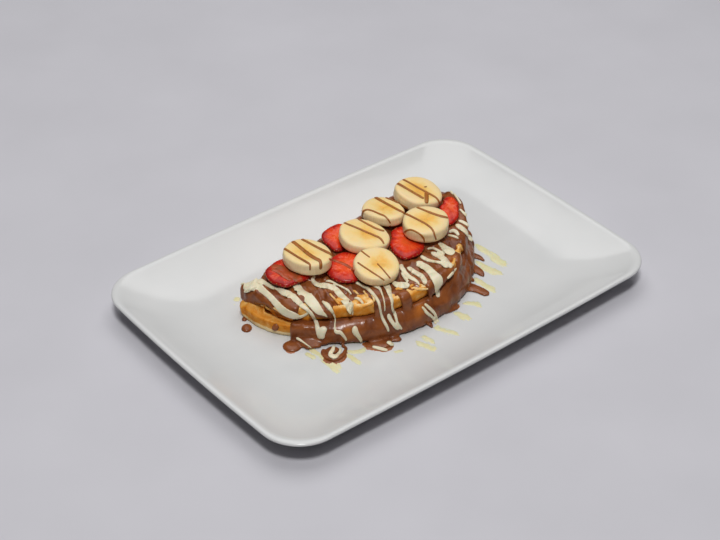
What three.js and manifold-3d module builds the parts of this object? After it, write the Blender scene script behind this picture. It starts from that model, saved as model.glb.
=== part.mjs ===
// A round waffle folded in half over a chocolate filling, with banana and
// strawberry slices on top, on a rectangular white plate.
// Millimetres, +Z up, the plate's long side along X, its foot on z = 0 and
// its middle over the origin.

import * as THREE from 'three';
import Module from 'manifold-3d';
import { mergeVertices } from 'three/addons/utils/BufferGeometryUtils.js';

const wasm = await Module();
wasm.setup();

// ---- driving dimensions ----------------------------------------------------

// plate
const PLATE_LENGTH = 330;
const PLATE_WIDTH = 227;
const PLATE_HEIGHT = 19;
const SIDE_BOW = 1.5; // how far the middle of a side stands out
const CORNER_RADIUS = 30;
const CORNER_TIGHTEN = 0.25; // corner radius lost per mm of inset
const LIP_WIDTH = 4.4;
const LIP_THICK = 2.6;
const WALL_WIDTH = 50; // from the outer edge to the flat floor
const FOOT_INSET = 20; // from the outer edge to the foot ring
const FLOOR_TOP = 5;
const FLOOR_UNDER = 1.4;

// waffle
const WAFFLE_BASE = 5.4; // its underside, a little above the plate's floor
const WAFFLE_THICK = 9.25;
const LOWER_RADIUS = 97;
const UPPER_RADIUS = 92;
const RIM_CENTRE = 2; // the rims' centre, past the fold's axis
const FOLD_Y = 45; // where the fold's axis crosses x = 0
const FOLD_TURN = 7.5; // degrees, against the plate's long side
const GAP = 7; // between the layers
const GAP_END = 1.2; // between the layers, at the ends of the fold
const GAP_TAPER = 38; // the length over which the gap closes
const EDGE_ROUND = 1.6;

// waffle grid
const GRID_PITCH = 13;
const POCKET_MOUTH = 9.6;
const POCKET_FLOOR = 6.6;
const POCKET_DEPTH = 3.2;
const POCKET_MARGIN = 8; // kept clear at the rim

// filling
const CLEAR = 0.3;
const FILLING_RADIUS = 90.5;
const APRON_THICK = 3.4; // where it runs down over the lower rim
const APRON_FROM = 206; // degrees round the rim's centre
const APRON_TO = 346;

// fruit: x and y of the underside's middle, its height, the thickness, the
// lean (how much, and towards which side, in degrees), and the outline: radii
// at equal angles, from x towards y
const BANANA = [
  [-47, 22, 37.2, 9, 3, 20, [15.7, 16, 16.9, 18, 18.2, 17.4, 17, 16.4, 15.9, 16, 16.7, 17.7, 18.3, 18, 16.9, 16]],
  [-0.8, 18.2, 36.5, 7.3, 8, -42, [17.1, 17, 17.6, 18.4, 18.4, 18.3, 17.6, 17.4, 17.9, 17.8, 17, 16.8, 17.4, 18.8, 18.4, 17.6]],
  [-14.7, -12.5, 35.6, 7, 10, -75, [16.5, 17.6, 17.4, 16.5, 16.1, 15.7, 15.9, 16.4, 17.1, 17.6, 17.4, 16.8, 16.4, 16.1, 16, 16]],
  [30.5, 33.7, 35.8, 7.5, 6, 40, [13.9, 14.6, 16.6, 17.6, 16.8, 15.7, 15.5, 15.6, 15.1, 14.9, 15.7, 17.1, 17.7, 16.5, 15.2, 14.1]],
  [41.4, 0.6, 37.8, 9, 3, -60, [17.9, 17.7, 17, 16.7, 16.7, 16.4, 16.2, 16.7, 17.7, 17.6, 17.3, 17, 16.5, 16.2, 16.2, 16.8]],
  [62.1, 34.4, 36.4, 9, 11, -42, [17.9, 18.4, 18.3, 17.4, 16.8, 16.7, 17.3, 17.3, 17.1, 16.9, 17.1, 16.9, 17.4, 18, 17.8, 17.5]],
];
const STRAWBERRY = [
  [-62, 23.8, 32.1, 4.3, 2, -120, [15.1, 14.9, 15.3, 15.1, 14.5, 14.6, 15.8, 16.1, 15.8, 15.3, 15.8, 13.8, 13.5, 15.2, 17, 16.1]],
  [-10.8, 34.3, 33.2, 3.8, 7, -100, [11.3, 14, 14.8, 12.3, 11.3, 11.2, 11.5, 11.4, 11.2, 12, 14.5, 13.9, 12, 10.8, 10.5, 10.6]],
  [-27.9, 3.3, 31.9, 4.4, 2, -130, [14.2, 16.4, 17, 16.2, 14.6, 13.2, 13, 14.1, 14.9, 15.5, 16.2, 16.4, 15.2, 14.1, 13.1, 12.9]],
  [23.4, 0.4, 31.8, 4.4, 2, -100, [13.3, 15, 17.8, 18.4, 15.6, 11.6, 10.8, 12, 13.3, 15.9, 19.1, 17.1, 16, 14.3, 13.3, 12.7]],
  [74, 11.2, 33, 4.2, 6, -110, [9.2, 11.7, 16.4, 12.8, 7.8, 7.2, 7.8, 7.7, 9.4, 12.7, 17.7, 14, 10.2, 7.8, 7.2, 7.2]],
];
const BANANA_SIDES = 28;
const STRAWBERRY_SIDES = 26;

// ---- helpers ---------------------------------------------------------------

const rad = THREE.MathUtils.degToRad;
const clamp = THREE.MathUtils.clamp;

function geometryOf(points, faces) {
  const g = new THREE.BufferGeometry();
  g.setAttribute('position', new THREE.Float32BufferAttribute(points.flat(), 3));
  g.setIndex(faces.flat());
  return g;
}

// Closed skin over equal rings; a ring of one point is a pole, and an end
// ring with more points is closed by a fan to its middle, or to a given point.
function loft(rings, middles = []) {
  const points = [];
  const faces = [];
  const starts = [];
  for (const ring of rings) {
    starts.push(points.length);
    points.push(...ring);
  }
  const cap = (k, flip) => {
    const ring = rings[k];
    if (ring.length === 1) return;
    const sum = ring.reduce((s, p) => [s[0] + p[0], s[1] + p[1], s[2] + p[2]], [0, 0, 0]);
    points.push(middles[k > 0 ? 1 : 0] ?? sum.map((c) => c / ring.length));
    const m = points.length - 1;
    for (let i = 0; i < ring.length; i++) {
      const a = starts[k] + i;
      const b = starts[k] + ((i + 1) % ring.length);
      faces.push(flip ? [m, b, a] : [m, a, b]);
    }
  };
  for (let k = 0; k + 1 < rings.length; k++) {
    const na = rings[k].length;
    const nb = rings[k + 1].length;
    const n = Math.max(na, nb);
    for (let i = 0; i < n; i++) {
      const j = (i + 1) % n;
      const a0 = starts[k] + (na === 1 ? 0 : i);
      const a1 = starts[k] + (na === 1 ? 0 : j);
      const b0 = starts[k + 1] + (nb === 1 ? 0 : i);
      const b1 = starts[k + 1] + (nb === 1 ? 0 : j);
      if (na > 1) faces.push([a0, a1, b1]);
      if (nb > 1) faces.push([a0, b1, b0]);
    }
  }
  cap(0, true);
  cap(rings.length - 1, false);
  return geometryOf(points, faces);
}

// Same, with the ends closed by a strip between the ring's two halves, for
// sections that bend round on themselves.
function loftStrip(rings, pairs) {
  const n = rings[0].length;
  const points = rings.flat();
  const faces = [];
  for (let k = 0; k + 1 < rings.length; k++) {
    for (let i = 0; i < n; i++) {
      const j = (i + 1) % n;
      const a = k * n;
      const b = (k + 1) * n;
      faces.push([a + i, a + j, b + j], [a + i, b + j, b + i]);
    }
  }
  const last = (rings.length - 1) * n;
  for (let i = 0; i + 1 < pairs.length; i++) {
    const [p, q] = pairs[i];
    const [s, t] = pairs[i + 1];
    if (p !== s) faces.push([s, p, q], [last + p, last + s, last + q]);
    if (q !== t) faces.push([s, q, t], [last + s, last + t, last + q]);
  }
  return geometryOf(points, faces);
}

function solidOf(geometry) {
  const g = geometry.clone();
  g.deleteAttribute('normal');
  g.deleteAttribute('uv');
  const m = mergeVertices(g, 1e-4);
  const vertProperties = Float32Array.from(m.attributes.position.array);
  const triVerts = Uint32Array.from(m.index.array);
  return new wasm.Manifold(new wasm.Mesh({ numProp: 3, vertProperties, triVerts }));
}

function geometryFrom(solid) {
  const mesh = solid.getMesh();
  const g = new THREE.BufferGeometry();
  g.setAttribute('position', new THREE.BufferAttribute(mesh.vertProperties, 3));
  g.setIndex(new THREE.BufferAttribute(mesh.triVerts, 1));
  return g;
}

const object = new THREE.Group();

function addPart(name, geometry, color, roughness) {
  const flat = geometry.index ? geometry.toNonIndexed() : geometry;
  flat.computeVertexNormals();
  const material = new THREE.MeshStandardMaterial({ color, roughness, metalness: 0 });
  const mesh = new THREE.Mesh(flat, material);
  mesh.name = name;
  object.add(mesh);
  return mesh;
}

// ---- plate -----------------------------------------------------------------

// One ring of the plate: a rounded rectangle with slightly bowed sides,
// moved in from the outer edge by an inset.
function plateRing(inset, z) {
  const radius = CORNER_RADIUS - CORNER_TIGHTEN * inset;
  const halfX = PLATE_LENGTH / 2 - SIDE_BOW - inset;
  const halfY = PLATE_WIDTH / 2 - SIDE_BOW - inset;
  const ring = [];
  const corners = [[1, 1], [-1, 1], [-1, -1], [1, -1]];
  corners.forEach(([sx, sy], c) => {
    const arcSteps = 7;
    for (let i = 0; i <= arcSteps; i++) {
      const a = rad(90 * c + (90 * i) / arcSteps);
      const x = sx * (halfX - radius) + radius * Math.cos(a);
      const y = sy * (halfY - radius) + radius * Math.sin(a);
      ring.push([x, y, z]);
    }
    const alongX = c % 2 === 0;
    const run = (alongX ? halfX : halfY) - radius;
    const sideSteps = alongX ? 6 : 4;
    for (let i = 1; i < sideSteps; i++) {
      const t = 1 - (2 * i) / sideSteps;
      const out = SIDE_BOW * (1 - t * t);
      if (alongX) ring.push([sx * run * t, sy * (halfY + out), z]);
      else ring.push([sx * (halfX + out), sy * run * t, z]);
    }
  });
  return ring;
}

// the upper side of the plate, an even curve from the lip to the flat floor
const WALL_RISE = PLATE_HEIGHT - 0.5 - FLOOR_TOP;
function curve(inset) {
  const s = (inset - LIP_WIDTH) / (WALL_WIDTH - LIP_WIDTH);
  return [inset, FLOOR_TOP + WALL_RISE * (1 - s) ** 2];
}

// inset and height of each ring, from the hollow underside, over the foot,
// up the overhanging underside, over the lip and down to the floor
const plateProfile = [
  [WALL_WIDTH, FLOOR_UNDER],
  [FOOT_INSET + 10, FLOOR_UNDER + 0.6],
  [FOOT_INSET + 5.4, 0.9],
  [FOOT_INSET + 4.4, 0],
  [FOOT_INSET, 0],
  [FOOT_INSET - 1.1, 0.6],
  [FOOT_INSET - 8, 6.4],
  [3.4, 15.2],
  [1.0, PLATE_HEIGHT - LIP_THICK],
  [0.1, PLATE_HEIGHT - LIP_THICK + 0.7],
  [0, PLATE_HEIGHT - 1.2],
  [0.9, PLATE_HEIGHT - 0.2],
  [2.3, PLATE_HEIGHT],
  curve(LIP_WIDTH),
  curve(9),
  curve(15),
  curve(22),
  curve(30),
  curve(39),
  [WALL_WIDTH, FLOOR_TOP],
];
const plateRings = plateProfile.map(([inset, z]) => plateRing(inset, z));
const platePoles = [[[0, 0, FLOOR_UNDER]], [[0, 0, FLOOR_TOP]]];
addPart('plate', loft([platePoles[0], ...plateRings, platePoles[1]]), 0xeeeeec, 0.15);

// ---- waffle ----------------------------------------------------------------

// Along the fold is u, across it v (the open side is at negative v).
const foldTurn = rad(FOLD_TURN);
function place(u, v, z) {
  const x = u * Math.cos(foldTurn) - v * Math.sin(foldTurn);
  const y = FOLD_Y + u * Math.sin(foldTurn) + v * Math.cos(foldTurn);
  return [x, y, z];
}

function gapAt(u) {
  const room = clamp((LOWER_RADIUS - Math.abs(u)) / GAP_TAPER, 0, 1);
  return Math.max(GAP_END, GAP * Math.pow(room, 0.7));
}

// how full the fold's round back is, less towards its ends
function fullness(u) {
  return Math.sqrt(Math.max(0.12, 1 - Math.pow(Math.abs(u) / LOWER_RADIUS, 10)));
}

function rimAt(u, radius) {
  return Math.min(-1.2, RIM_CENTRE - Math.sqrt(Math.max(0, radius * radius - u * u)));
}

const BEND_STEPS = 8;
const FLAT_STEPS = 3;

// The folded section at u: out along the underside, round the back, over the
// top, round the upper rim, and back along the inside to the lower rim.
function waffleSection(u) {
  const gap = gapAt(u);
  const full = fullness(u);
  const outer = WAFFLE_THICK + gap / 2;
  const inner = gap / 2;
  const mid = WAFFLE_BASE + WAFFLE_THICK + gap / 2;
  const lower = rimAt(u, LOWER_RADIUS);
  const upper = rimAt(u, UPPER_RADIUS);
  const r = Math.min(EDGE_ROUND, -upper / 2);
  const ring = [];
  for (let i = 0; i < FLAT_STEPS; i++) {
    ring.push(place(u, (lower + r) * (1 - i / FLAT_STEPS), mid - outer));
  }
  for (let i = 0; i <= BEND_STEPS; i++) {
    const a = rad(-90 + (180 * i) / BEND_STEPS);
    ring.push(place(u, outer * full * Math.cos(a), mid + outer * Math.sin(a)));
  }
  for (let i = FLAT_STEPS - 1; i >= 0; i--) {
    ring.push(place(u, (upper + r) * (1 - i / FLAT_STEPS), mid + outer));
  }
  ring.push(place(u, upper, mid + outer - r));
  ring.push(place(u, upper, mid + inner + r));
  for (let i = 0; i < FLAT_STEPS; i++) {
    ring.push(place(u, (upper + r) * (1 - i / FLAT_STEPS), mid + inner));
  }
  for (let i = BEND_STEPS; i >= 0; i--) {
    const a = rad(-90 + (180 * i) / BEND_STEPS);
    ring.push(place(u, inner * full * Math.cos(a), mid + inner * Math.sin(a)));
  }
  for (let i = FLAT_STEPS - 1; i >= 0; i--) {
    ring.push(place(u, (lower + r) * (1 - i / FLAT_STEPS), mid - inner));
  }
  ring.push(place(u, lower, mid - inner - r));
  ring.push(place(u, lower, mid - outer + r));
  return ring;
}

const STATIONS = 30;
const stations = [];
for (let i = 0; i <= STATIONS; i++) {
  stations.push(LOWER_RADIUS * Math.sin(rad(-80 + (160 * i) / STATIONS)));
}
const waffleRings = stations.map(waffleSection);
// matching points of the outside and the inside, for closing the two ends
const sideCount = 2 * FLAT_STEPS + BEND_STEPS + 1;
const ringCount = waffleRings[0].length;
const pairs = [[ringCount - 1, ringCount - 1], [ringCount - 1, ringCount - 2]];
for (let i = 0; i < sideCount; i++) {
  pairs.push([i, ringCount - 3 - i]);
}
pairs.push([sideCount, sideCount + 1]);
const waffleBody = loftStrip(waffleRings, pairs);

// one pocket of the grid: a square hole that narrows towards its floor
function pocket(u, v, z, up) {
  const box = new THREE.BoxGeometry(1, 1, 1);
  const p = box.attributes.position;
  const over = 0.8;
  const grow = ((POCKET_MOUTH - POCKET_FLOOR) / POCKET_DEPTH) * over;
  for (let i = 0; i < p.count; i++) {
    const atMouth = p.getZ(i) > 0;
    const size = atMouth ? POCKET_MOUTH + grow : POCKET_FLOOR;
    const dz = (atMouth ? over : -POCKET_DEPTH) * (up ? 1 : -1);
    const pu = u + p.getX(i) * size;
    const pv = v + p.getY(i) * size * (up ? 1 : -1);
    p.setXYZ(i, ...place(pu, pv, z + dz));
  }
  return solidOf(box);
}

let waffle = solidOf(waffleBody);
const rows = Math.ceil(UPPER_RADIUS / GRID_PITCH);
for (let row = 0; row < rows; row++) {
  const v = -(row + 0.5) * GRID_PITCH;
  for (let col = -rows; col <= rows; col++) {
    const u = col * GRID_PITCH;
    const reach = Math.hypot(Math.abs(u) + POCKET_MOUTH / 2, RIM_CENTRE - v + POCKET_MOUTH / 2);
    const gap = gapAt(u);
    const top = WAFFLE_BASE + 2 * WAFFLE_THICK + gap;
    const level = gap > GAP * 0.97;
    if (reach < UPPER_RADIUS - POCKET_MARGIN + 4 && level) {
      waffle = waffle.subtract(pocket(u, v, top, true));
    }
    if (reach < LOWER_RADIUS - POCKET_MARGIN + 4) {
      waffle = waffle.subtract(pocket(u, v, WAFFLE_BASE, false));
    }
  }
}
addPart('waffle', geometryFrom(waffle), 0xc98a3c, 0.75);

// ---- chocolate filling -----------------------------------------------------

// the layer between the two halves of the waffle
function fillingSection(u) {
  const gap = gapAt(u);
  const full = fullness(u);
  const mid = WAFFLE_BASE + WAFFLE_THICK + gap / 2;
  const half = gap / 2 - CLEAR;
  const front = rimAt(u, FILLING_RADIUS);
  const ring = [];
  ring.push(place(u, front, mid - half));
  ring.push(place(u, front / 2, mid - half));
  for (let i = 0; i <= 4; i++) {
    const a = rad(-90 + 45 * i);
    ring.push(place(u, half * full * Math.cos(a), mid + half * Math.sin(a)));
  }
  ring.push(place(u, front / 2, mid + half));
  ring.push(place(u, front, mid + half));
  return ring;
}
// along the same stations as the waffle, so that the faces stay parallel
const within = stations.filter((u) => Math.abs(u) < 86);
const layer = solidOf(loft(within.map(fillingSection)));

// the run of filling down over the lower rim to the plate: its section at an
// angle round the rims' centre, with a tongue that joins it to the layer
const shelf = WAFFLE_BASE + WAFFLE_THICK + CLEAR;
const wall = LOWER_RADIUS + CLEAR;
const floorZ = FLOOR_TOP + CLEAR;
function apronSection(a) {
  const root = FILLING_RADIUS + 1.2;
  const room = gapAt(root * Math.cos(a)) - 2 * CLEAR - 0.5;
  const tongue = shelf + Math.max(0.5, room);
  const profile = [
    [root, tongue],
    [wall - 0.6, shelf + 2.6],
    [wall + APRON_THICK * 0.7, shelf - 2],
    [wall + APRON_THICK * 0.9, floorZ + 3.4],
    [wall + APRON_THICK, floorZ],
    [wall, floorZ],
    [wall, shelf],
    [root - 6, shelf],
    [root - 6, tongue],
  ];
  return profile.map(([r, z]) => atAngle(r, a, z));
}
function atAngle(r, a, z) {
  return place(r * Math.cos(a), RIM_CENTRE + r * Math.sin(a), z);
}
const APRON_STEPS = 24;
const apronRings = [];
for (let i = 0; i <= APRON_STEPS; i++) {
  apronRings.push(apronSection(rad(APRON_FROM + ((APRON_TO - APRON_FROM) * i) / APRON_STEPS)));
}
// the point inside the apron's bend, which sees the whole section
const bends = [APRON_FROM, APRON_TO].map((d) => atAngle(wall + 0.3, rad(d), shelf + 0.4));
const apron = solidOf(loft(apronRings, bends));
addPart('chocolate_filling', geometryFrom(layer.add(apron)), 0x6b3d28, 0.3);

// ---- fruit -----------------------------------------------------------------

// sets a piece on its underside's middle, leaning towards one side
function lay(mesh, x, y, z, lean, towards) {
  const t = rad(lean);
  const a = rad(towards);
  const up = new THREE.Vector3(Math.sin(t) * Math.cos(a), Math.sin(t) * Math.sin(a), Math.cos(t));
  mesh.quaternion.setFromUnitVectors(new THREE.Vector3(0, 0, 1), up);
  mesh.position.set(x, y, z);
}

// the outline's radius at an angle, smooth through the given ones
function radiusAt(radii, angle) {
  const n = radii.length;
  const t = (((angle / (2 * Math.PI)) * n) % n + n) % n;
  const i = Math.floor(t);
  const f = t - i;
  const [a, b, c, d] = [-1, 0, 1, 2].map((k) => radii[(i + k + n) % n]);
  return 0.5 * (2 * b + (c - a) * f + (2 * a - 5 * b + 4 * c - d) * f * f + (3 * b - a - 3 * c + d) * f ** 3);
}

function outlineRing(radii, sides, z, scale, inset) {
  const ring = [];
  for (let k = 0; k < sides; k++) {
    const a = (2 * Math.PI * k) / sides;
    const r = radiusAt(radii, a) * scale - inset;
    ring.push([r * Math.cos(a), r * Math.sin(a), z]);
  }
  return ring;
}

BANANA.forEach(([x, y, z, thick, lean, towards, radii], i) => {
  const profile = [[1.3, 0], [0.2, 1.0], [0, thick * 0.5], [0.15, thick - 0.9], [0.9, thick]];
  const rings = profile.map(([inset, h]) => outlineRing(radii, BANANA_SIDES, h, 1, inset));
  const mesh = addPart(`banana_slice_${i + 1}`, loft(rings), 0xe9cf90, 0.5);
  lay(mesh, x, y, z, lean, towards);
});

STRAWBERRY.forEach(([x, y, z, thick, lean, towards, radii], i) => {
  const levels = [[0, 0.86], [0.25, 0.96], [0.6, 1], [0.88, 0.97], [1, 0.93]];
  const rings = levels.map(([h, scale]) => outlineRing(radii, STRAWBERRY_SIDES, thick * h, scale, 0));
  const mesh = addPart(`strawberry_slice_${i + 1}`, loft(rings), 0xd8321f, 0.35);
  lay(mesh, x, y, z, lean, towards);
});

export default object;
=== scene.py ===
# Looks for the plate of waffle with fruit. Millimetres inside, metres in Blender.
# The plate's long side is X, the table is z = 0, the fold of the waffle is at
# the back (+v), its open round rims face the front.

import math

import bpy
import numpy as np
from mathutils import Matrix, Vector
from mathutils.bvhtree import BVHTree


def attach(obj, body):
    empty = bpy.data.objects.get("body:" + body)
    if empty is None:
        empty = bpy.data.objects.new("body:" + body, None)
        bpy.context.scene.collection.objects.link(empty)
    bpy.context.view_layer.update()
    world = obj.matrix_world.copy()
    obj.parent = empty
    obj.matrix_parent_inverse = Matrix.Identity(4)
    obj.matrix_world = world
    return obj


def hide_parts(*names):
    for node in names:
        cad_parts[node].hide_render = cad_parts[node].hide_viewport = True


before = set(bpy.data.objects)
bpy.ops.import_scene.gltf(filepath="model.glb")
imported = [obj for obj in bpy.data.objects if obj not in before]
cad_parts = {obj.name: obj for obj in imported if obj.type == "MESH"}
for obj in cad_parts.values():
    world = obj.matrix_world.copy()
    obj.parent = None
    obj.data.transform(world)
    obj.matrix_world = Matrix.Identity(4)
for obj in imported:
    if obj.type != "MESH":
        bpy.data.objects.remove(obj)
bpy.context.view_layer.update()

MM = 0.001


# ---- noise, meshes ----------------------------------------------------------

LATTICE = np.random.RandomState(11).rand(32, 32, 32)


def noise(p, size, shift=0.0):
    """Smooth noise from -1 to 1 at points (n, 3), with features of that size."""
    q = np.asarray(p, float) / size + shift
    i = np.floor(q).astype(int)
    f = q - i
    f = f * f * (3 - 2 * f)
    total = np.zeros(len(q))
    for dx in (0, 1):
        wx = f[:, 0] if dx else 1 - f[:, 0]
        for dy in (0, 1):
            wy = f[:, 1] if dy else 1 - f[:, 1]
            for dz in (0, 1):
                wz = f[:, 2] if dz else 1 - f[:, 2]
                at = LATTICE[(i[:, 0] + dx) % 32, (i[:, 1] + dy) % 32, (i[:, 2] + dz) % 32]
                total += wx * wy * wz * at
    return 2 * total - 1


def step(a, b, x):
    t = np.clip((np.asarray(x, float) - a) / (b - a), 0, 1)
    return t * t * (3 - 2 * t)


def catmull(a, b, c, d, t):
    """The smooth curve from b to c, at t from 0 to 1."""
    square = 2 * a - 5 * b + 4 * c - d
    cube = 3 * b - a - 3 * c + d
    return 0.5 * (2 * b + (c - a) * t + square * t**2 + cube * t**3)


def smooth_path(points, per=6):
    """A smooth line through the points; per new points for each span."""
    p = np.asarray(points, float)
    q = np.vstack([2 * p[0] - p[1], p, 2 * p[-1] - p[-2]])
    out = [catmull(*q[k : k + 4], i / per) for k in range(len(p) - 1) for i in range(per)]
    return np.array(out + [p[-1]])


def travelled(p):
    """How far along the line each of its points is."""
    return np.r_[0, np.cumsum(np.linalg.norm(np.diff(p[:, :3], axis=0), axis=1))]


def unit(v):
    return v / np.maximum(np.linalg.norm(v, axis=-1, keepdims=True), 1e-9)


def turns(n):
    """n equal angles round a circle."""
    return 2 * np.pi * np.arange(n) / n


def evenly(p, gap):
    """The same line with points that far apart."""
    p = np.asarray(p, float)
    d = travelled(p)
    n = max(2, int(round(d[-1] / gap)) + 1)
    s = np.linspace(0, d[-1], n)
    return np.column_stack([np.interp(s, d, p[:, k]) for k in range(p.shape[1])])


def soften(p, rounds=2):
    p = np.asarray(p, float).copy()
    for _ in range(rounds):
        p[1:-1] = 0.25 * p[:-2] + 0.5 * p[1:-1] + 0.25 * p[2:]
    return p


def strips(rows, cols, wrap, flip=False):
    """Quads of a grid of points, row after row; wrap closes each row."""
    r = np.arange(rows - 1)[:, None] * cols
    c = np.arange(cols if wrap else cols - 1)[None, :]
    n = (c + 1) % cols
    a, b, d, e = r + c, r + n, r + cols + n, r + cols + c
    order = (a, e, d, b) if flip else (a, b, d, e)
    return np.stack(order, axis=-1).reshape(-1, 4).tolist()


def closed(rows, n):
    """Faces of rings of n points, closed by the two points that follow them:
    the middle of the first ring and of the last."""
    faces = strips(rows, n, True)
    low, high, last = rows * n, rows * n + 1, (rows - 1) * n
    for i in range(n):
        j = (i + 1) % n
        faces += [[low, j, i], [high, last + i, last + j]]
    return faces


def mesh_of(name, points, faces):
    """Mesh from points in mm."""
    me = bpy.data.meshes.new(name)
    me.from_pydata((np.asarray(points, float) * MM).tolist(), [], faces)
    me.validate()
    me.update()
    return me


def link(name, data):
    """A new object in the scene."""
    ob = bpy.data.objects.new(name, data)
    bpy.context.scene.collection.objects.link(ob)
    return ob


def add(name, me, material, nodes=()):
    """A piece that rides on the row's one body."""
    ob = link(name, me)
    me.materials.clear()
    me.materials.append(material)
    me.polygons.foreach_set("use_smooth", [True] * len(me.polygons))
    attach(ob, "root")
    if nodes:
        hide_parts(*nodes)


def remeshed(me, size, rounds):
    """One closed skin round the mesh's parts, of squares of that size, smoothed."""
    ob = link("work", me)
    skin = ob.modifiers.new("skin", "REMESH")
    skin.mode = "VOXEL"
    skin.voxel_size = size * MM
    skin.adaptivity = 0
    ob.modifiers.new("smooth", "SMOOTH").iterations = rounds
    graph = bpy.context.evaluated_depsgraph_get()
    new = bpy.data.meshes.new_from_object(ob.evaluated_get(graph))
    bpy.data.objects.remove(ob)
    return new


def read(me, what):
    values = np.empty(len(me.vertices) * 3)
    me.vertices.foreach_get(what, values)
    return values.reshape(-1, 3)


def coords(me):
    return read(me, "co") / MM


def normals(me):
    return read(me, "normal")


def put(me, co):
    me.vertices.foreach_set("co", (co * MM).ravel())
    me.update()


def mark(me, name, values):
    """A number, or three numbers, for each vertex, for the materials to read."""
    values = np.asarray(values, np.float32)
    if values.ndim == 1:
        a = me.attributes.new(name, "FLOAT", "POINT")
        a.data.foreach_set("value", values)
    else:
        a = me.attributes.new(name, "FLOAT_VECTOR", "POINT")
        a.data.foreach_set("vector", values.ravel())


def tree_of(*meshes):
    """What rays meet: these meshes, in mm."""
    points, faces = [], []
    for me in meshes:
        base = len(points)
        points += [tuple(p) for p in coords(me)]
        faces += [[base + v for v in f.vertices] for f in me.polygons]
    return BVHTree.FromPolygons(points, faces)


class Parts:
    """Points and faces of several closed parts, gathered into one mesh."""

    def __init__(self):
        self.points, self.faces, self.count = [], [], 0

    def take(self, points, faces):
        self.points.append(np.asarray(points, float))
        self.faces += [[self.count + v for v in f] for f in faces]
        self.count += len(points)

    def mesh(self, name):
        return mesh_of(name, np.vstack(self.points), self.faces)


def tube(parts, line, ups, half_w, half_h, sides=10, blunt=1.0):
    """A closed strand along the line, an ellipse across, with round ends.
    ups says which way the top of the strand faces at each point."""
    line = np.asarray(line, float)
    n = len(line)
    half_w = np.broadcast_to(np.asarray(half_w, float), (n,)).copy()
    half_h = np.broadcast_to(np.asarray(half_h, float), (n,)).copy()
    d = travelled(line)
    for end in (d, d[-1] - d):
        reach = max(0.4, min(blunt * half_w.mean(), d[-1] * 0.5))
        t = np.clip(end / reach, 0, 1)
        k = np.maximum(np.sqrt(np.clip(1 - (1 - t) ** 2, 0, 1)), 0.02)
        half_w *= k
        half_h *= k
    tangent = unit(np.gradient(line, axis=0))
    side = unit(np.cross(tangent, ups))
    up = np.cross(side, tangent)
    a = turns(sides)
    rise = np.sign(np.sin(a)) * np.abs(np.sin(a)) ** 0.75
    wide = (half_w[:, None] * np.cos(a))[:, :, None] * side[:, None, :]
    tall = (half_h[:, None] * rise)[:, :, None] * up[:, None, :]
    ring = line[:, None, :] + wide + tall
    parts.take(np.vstack([ring.reshape(-1, 3), line[:1], line[-1:]]), closed(n, sides))


# ---- lines of sauce ---------------------------------------------------------
# one list a line, as x, y, width, x, y, width and so on in the 720 x 540 frame


def strokes(*lines, size=3):
    """Each list as rows of points."""
    return [np.reshape(line, (-1, size)) for line in lines]


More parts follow.
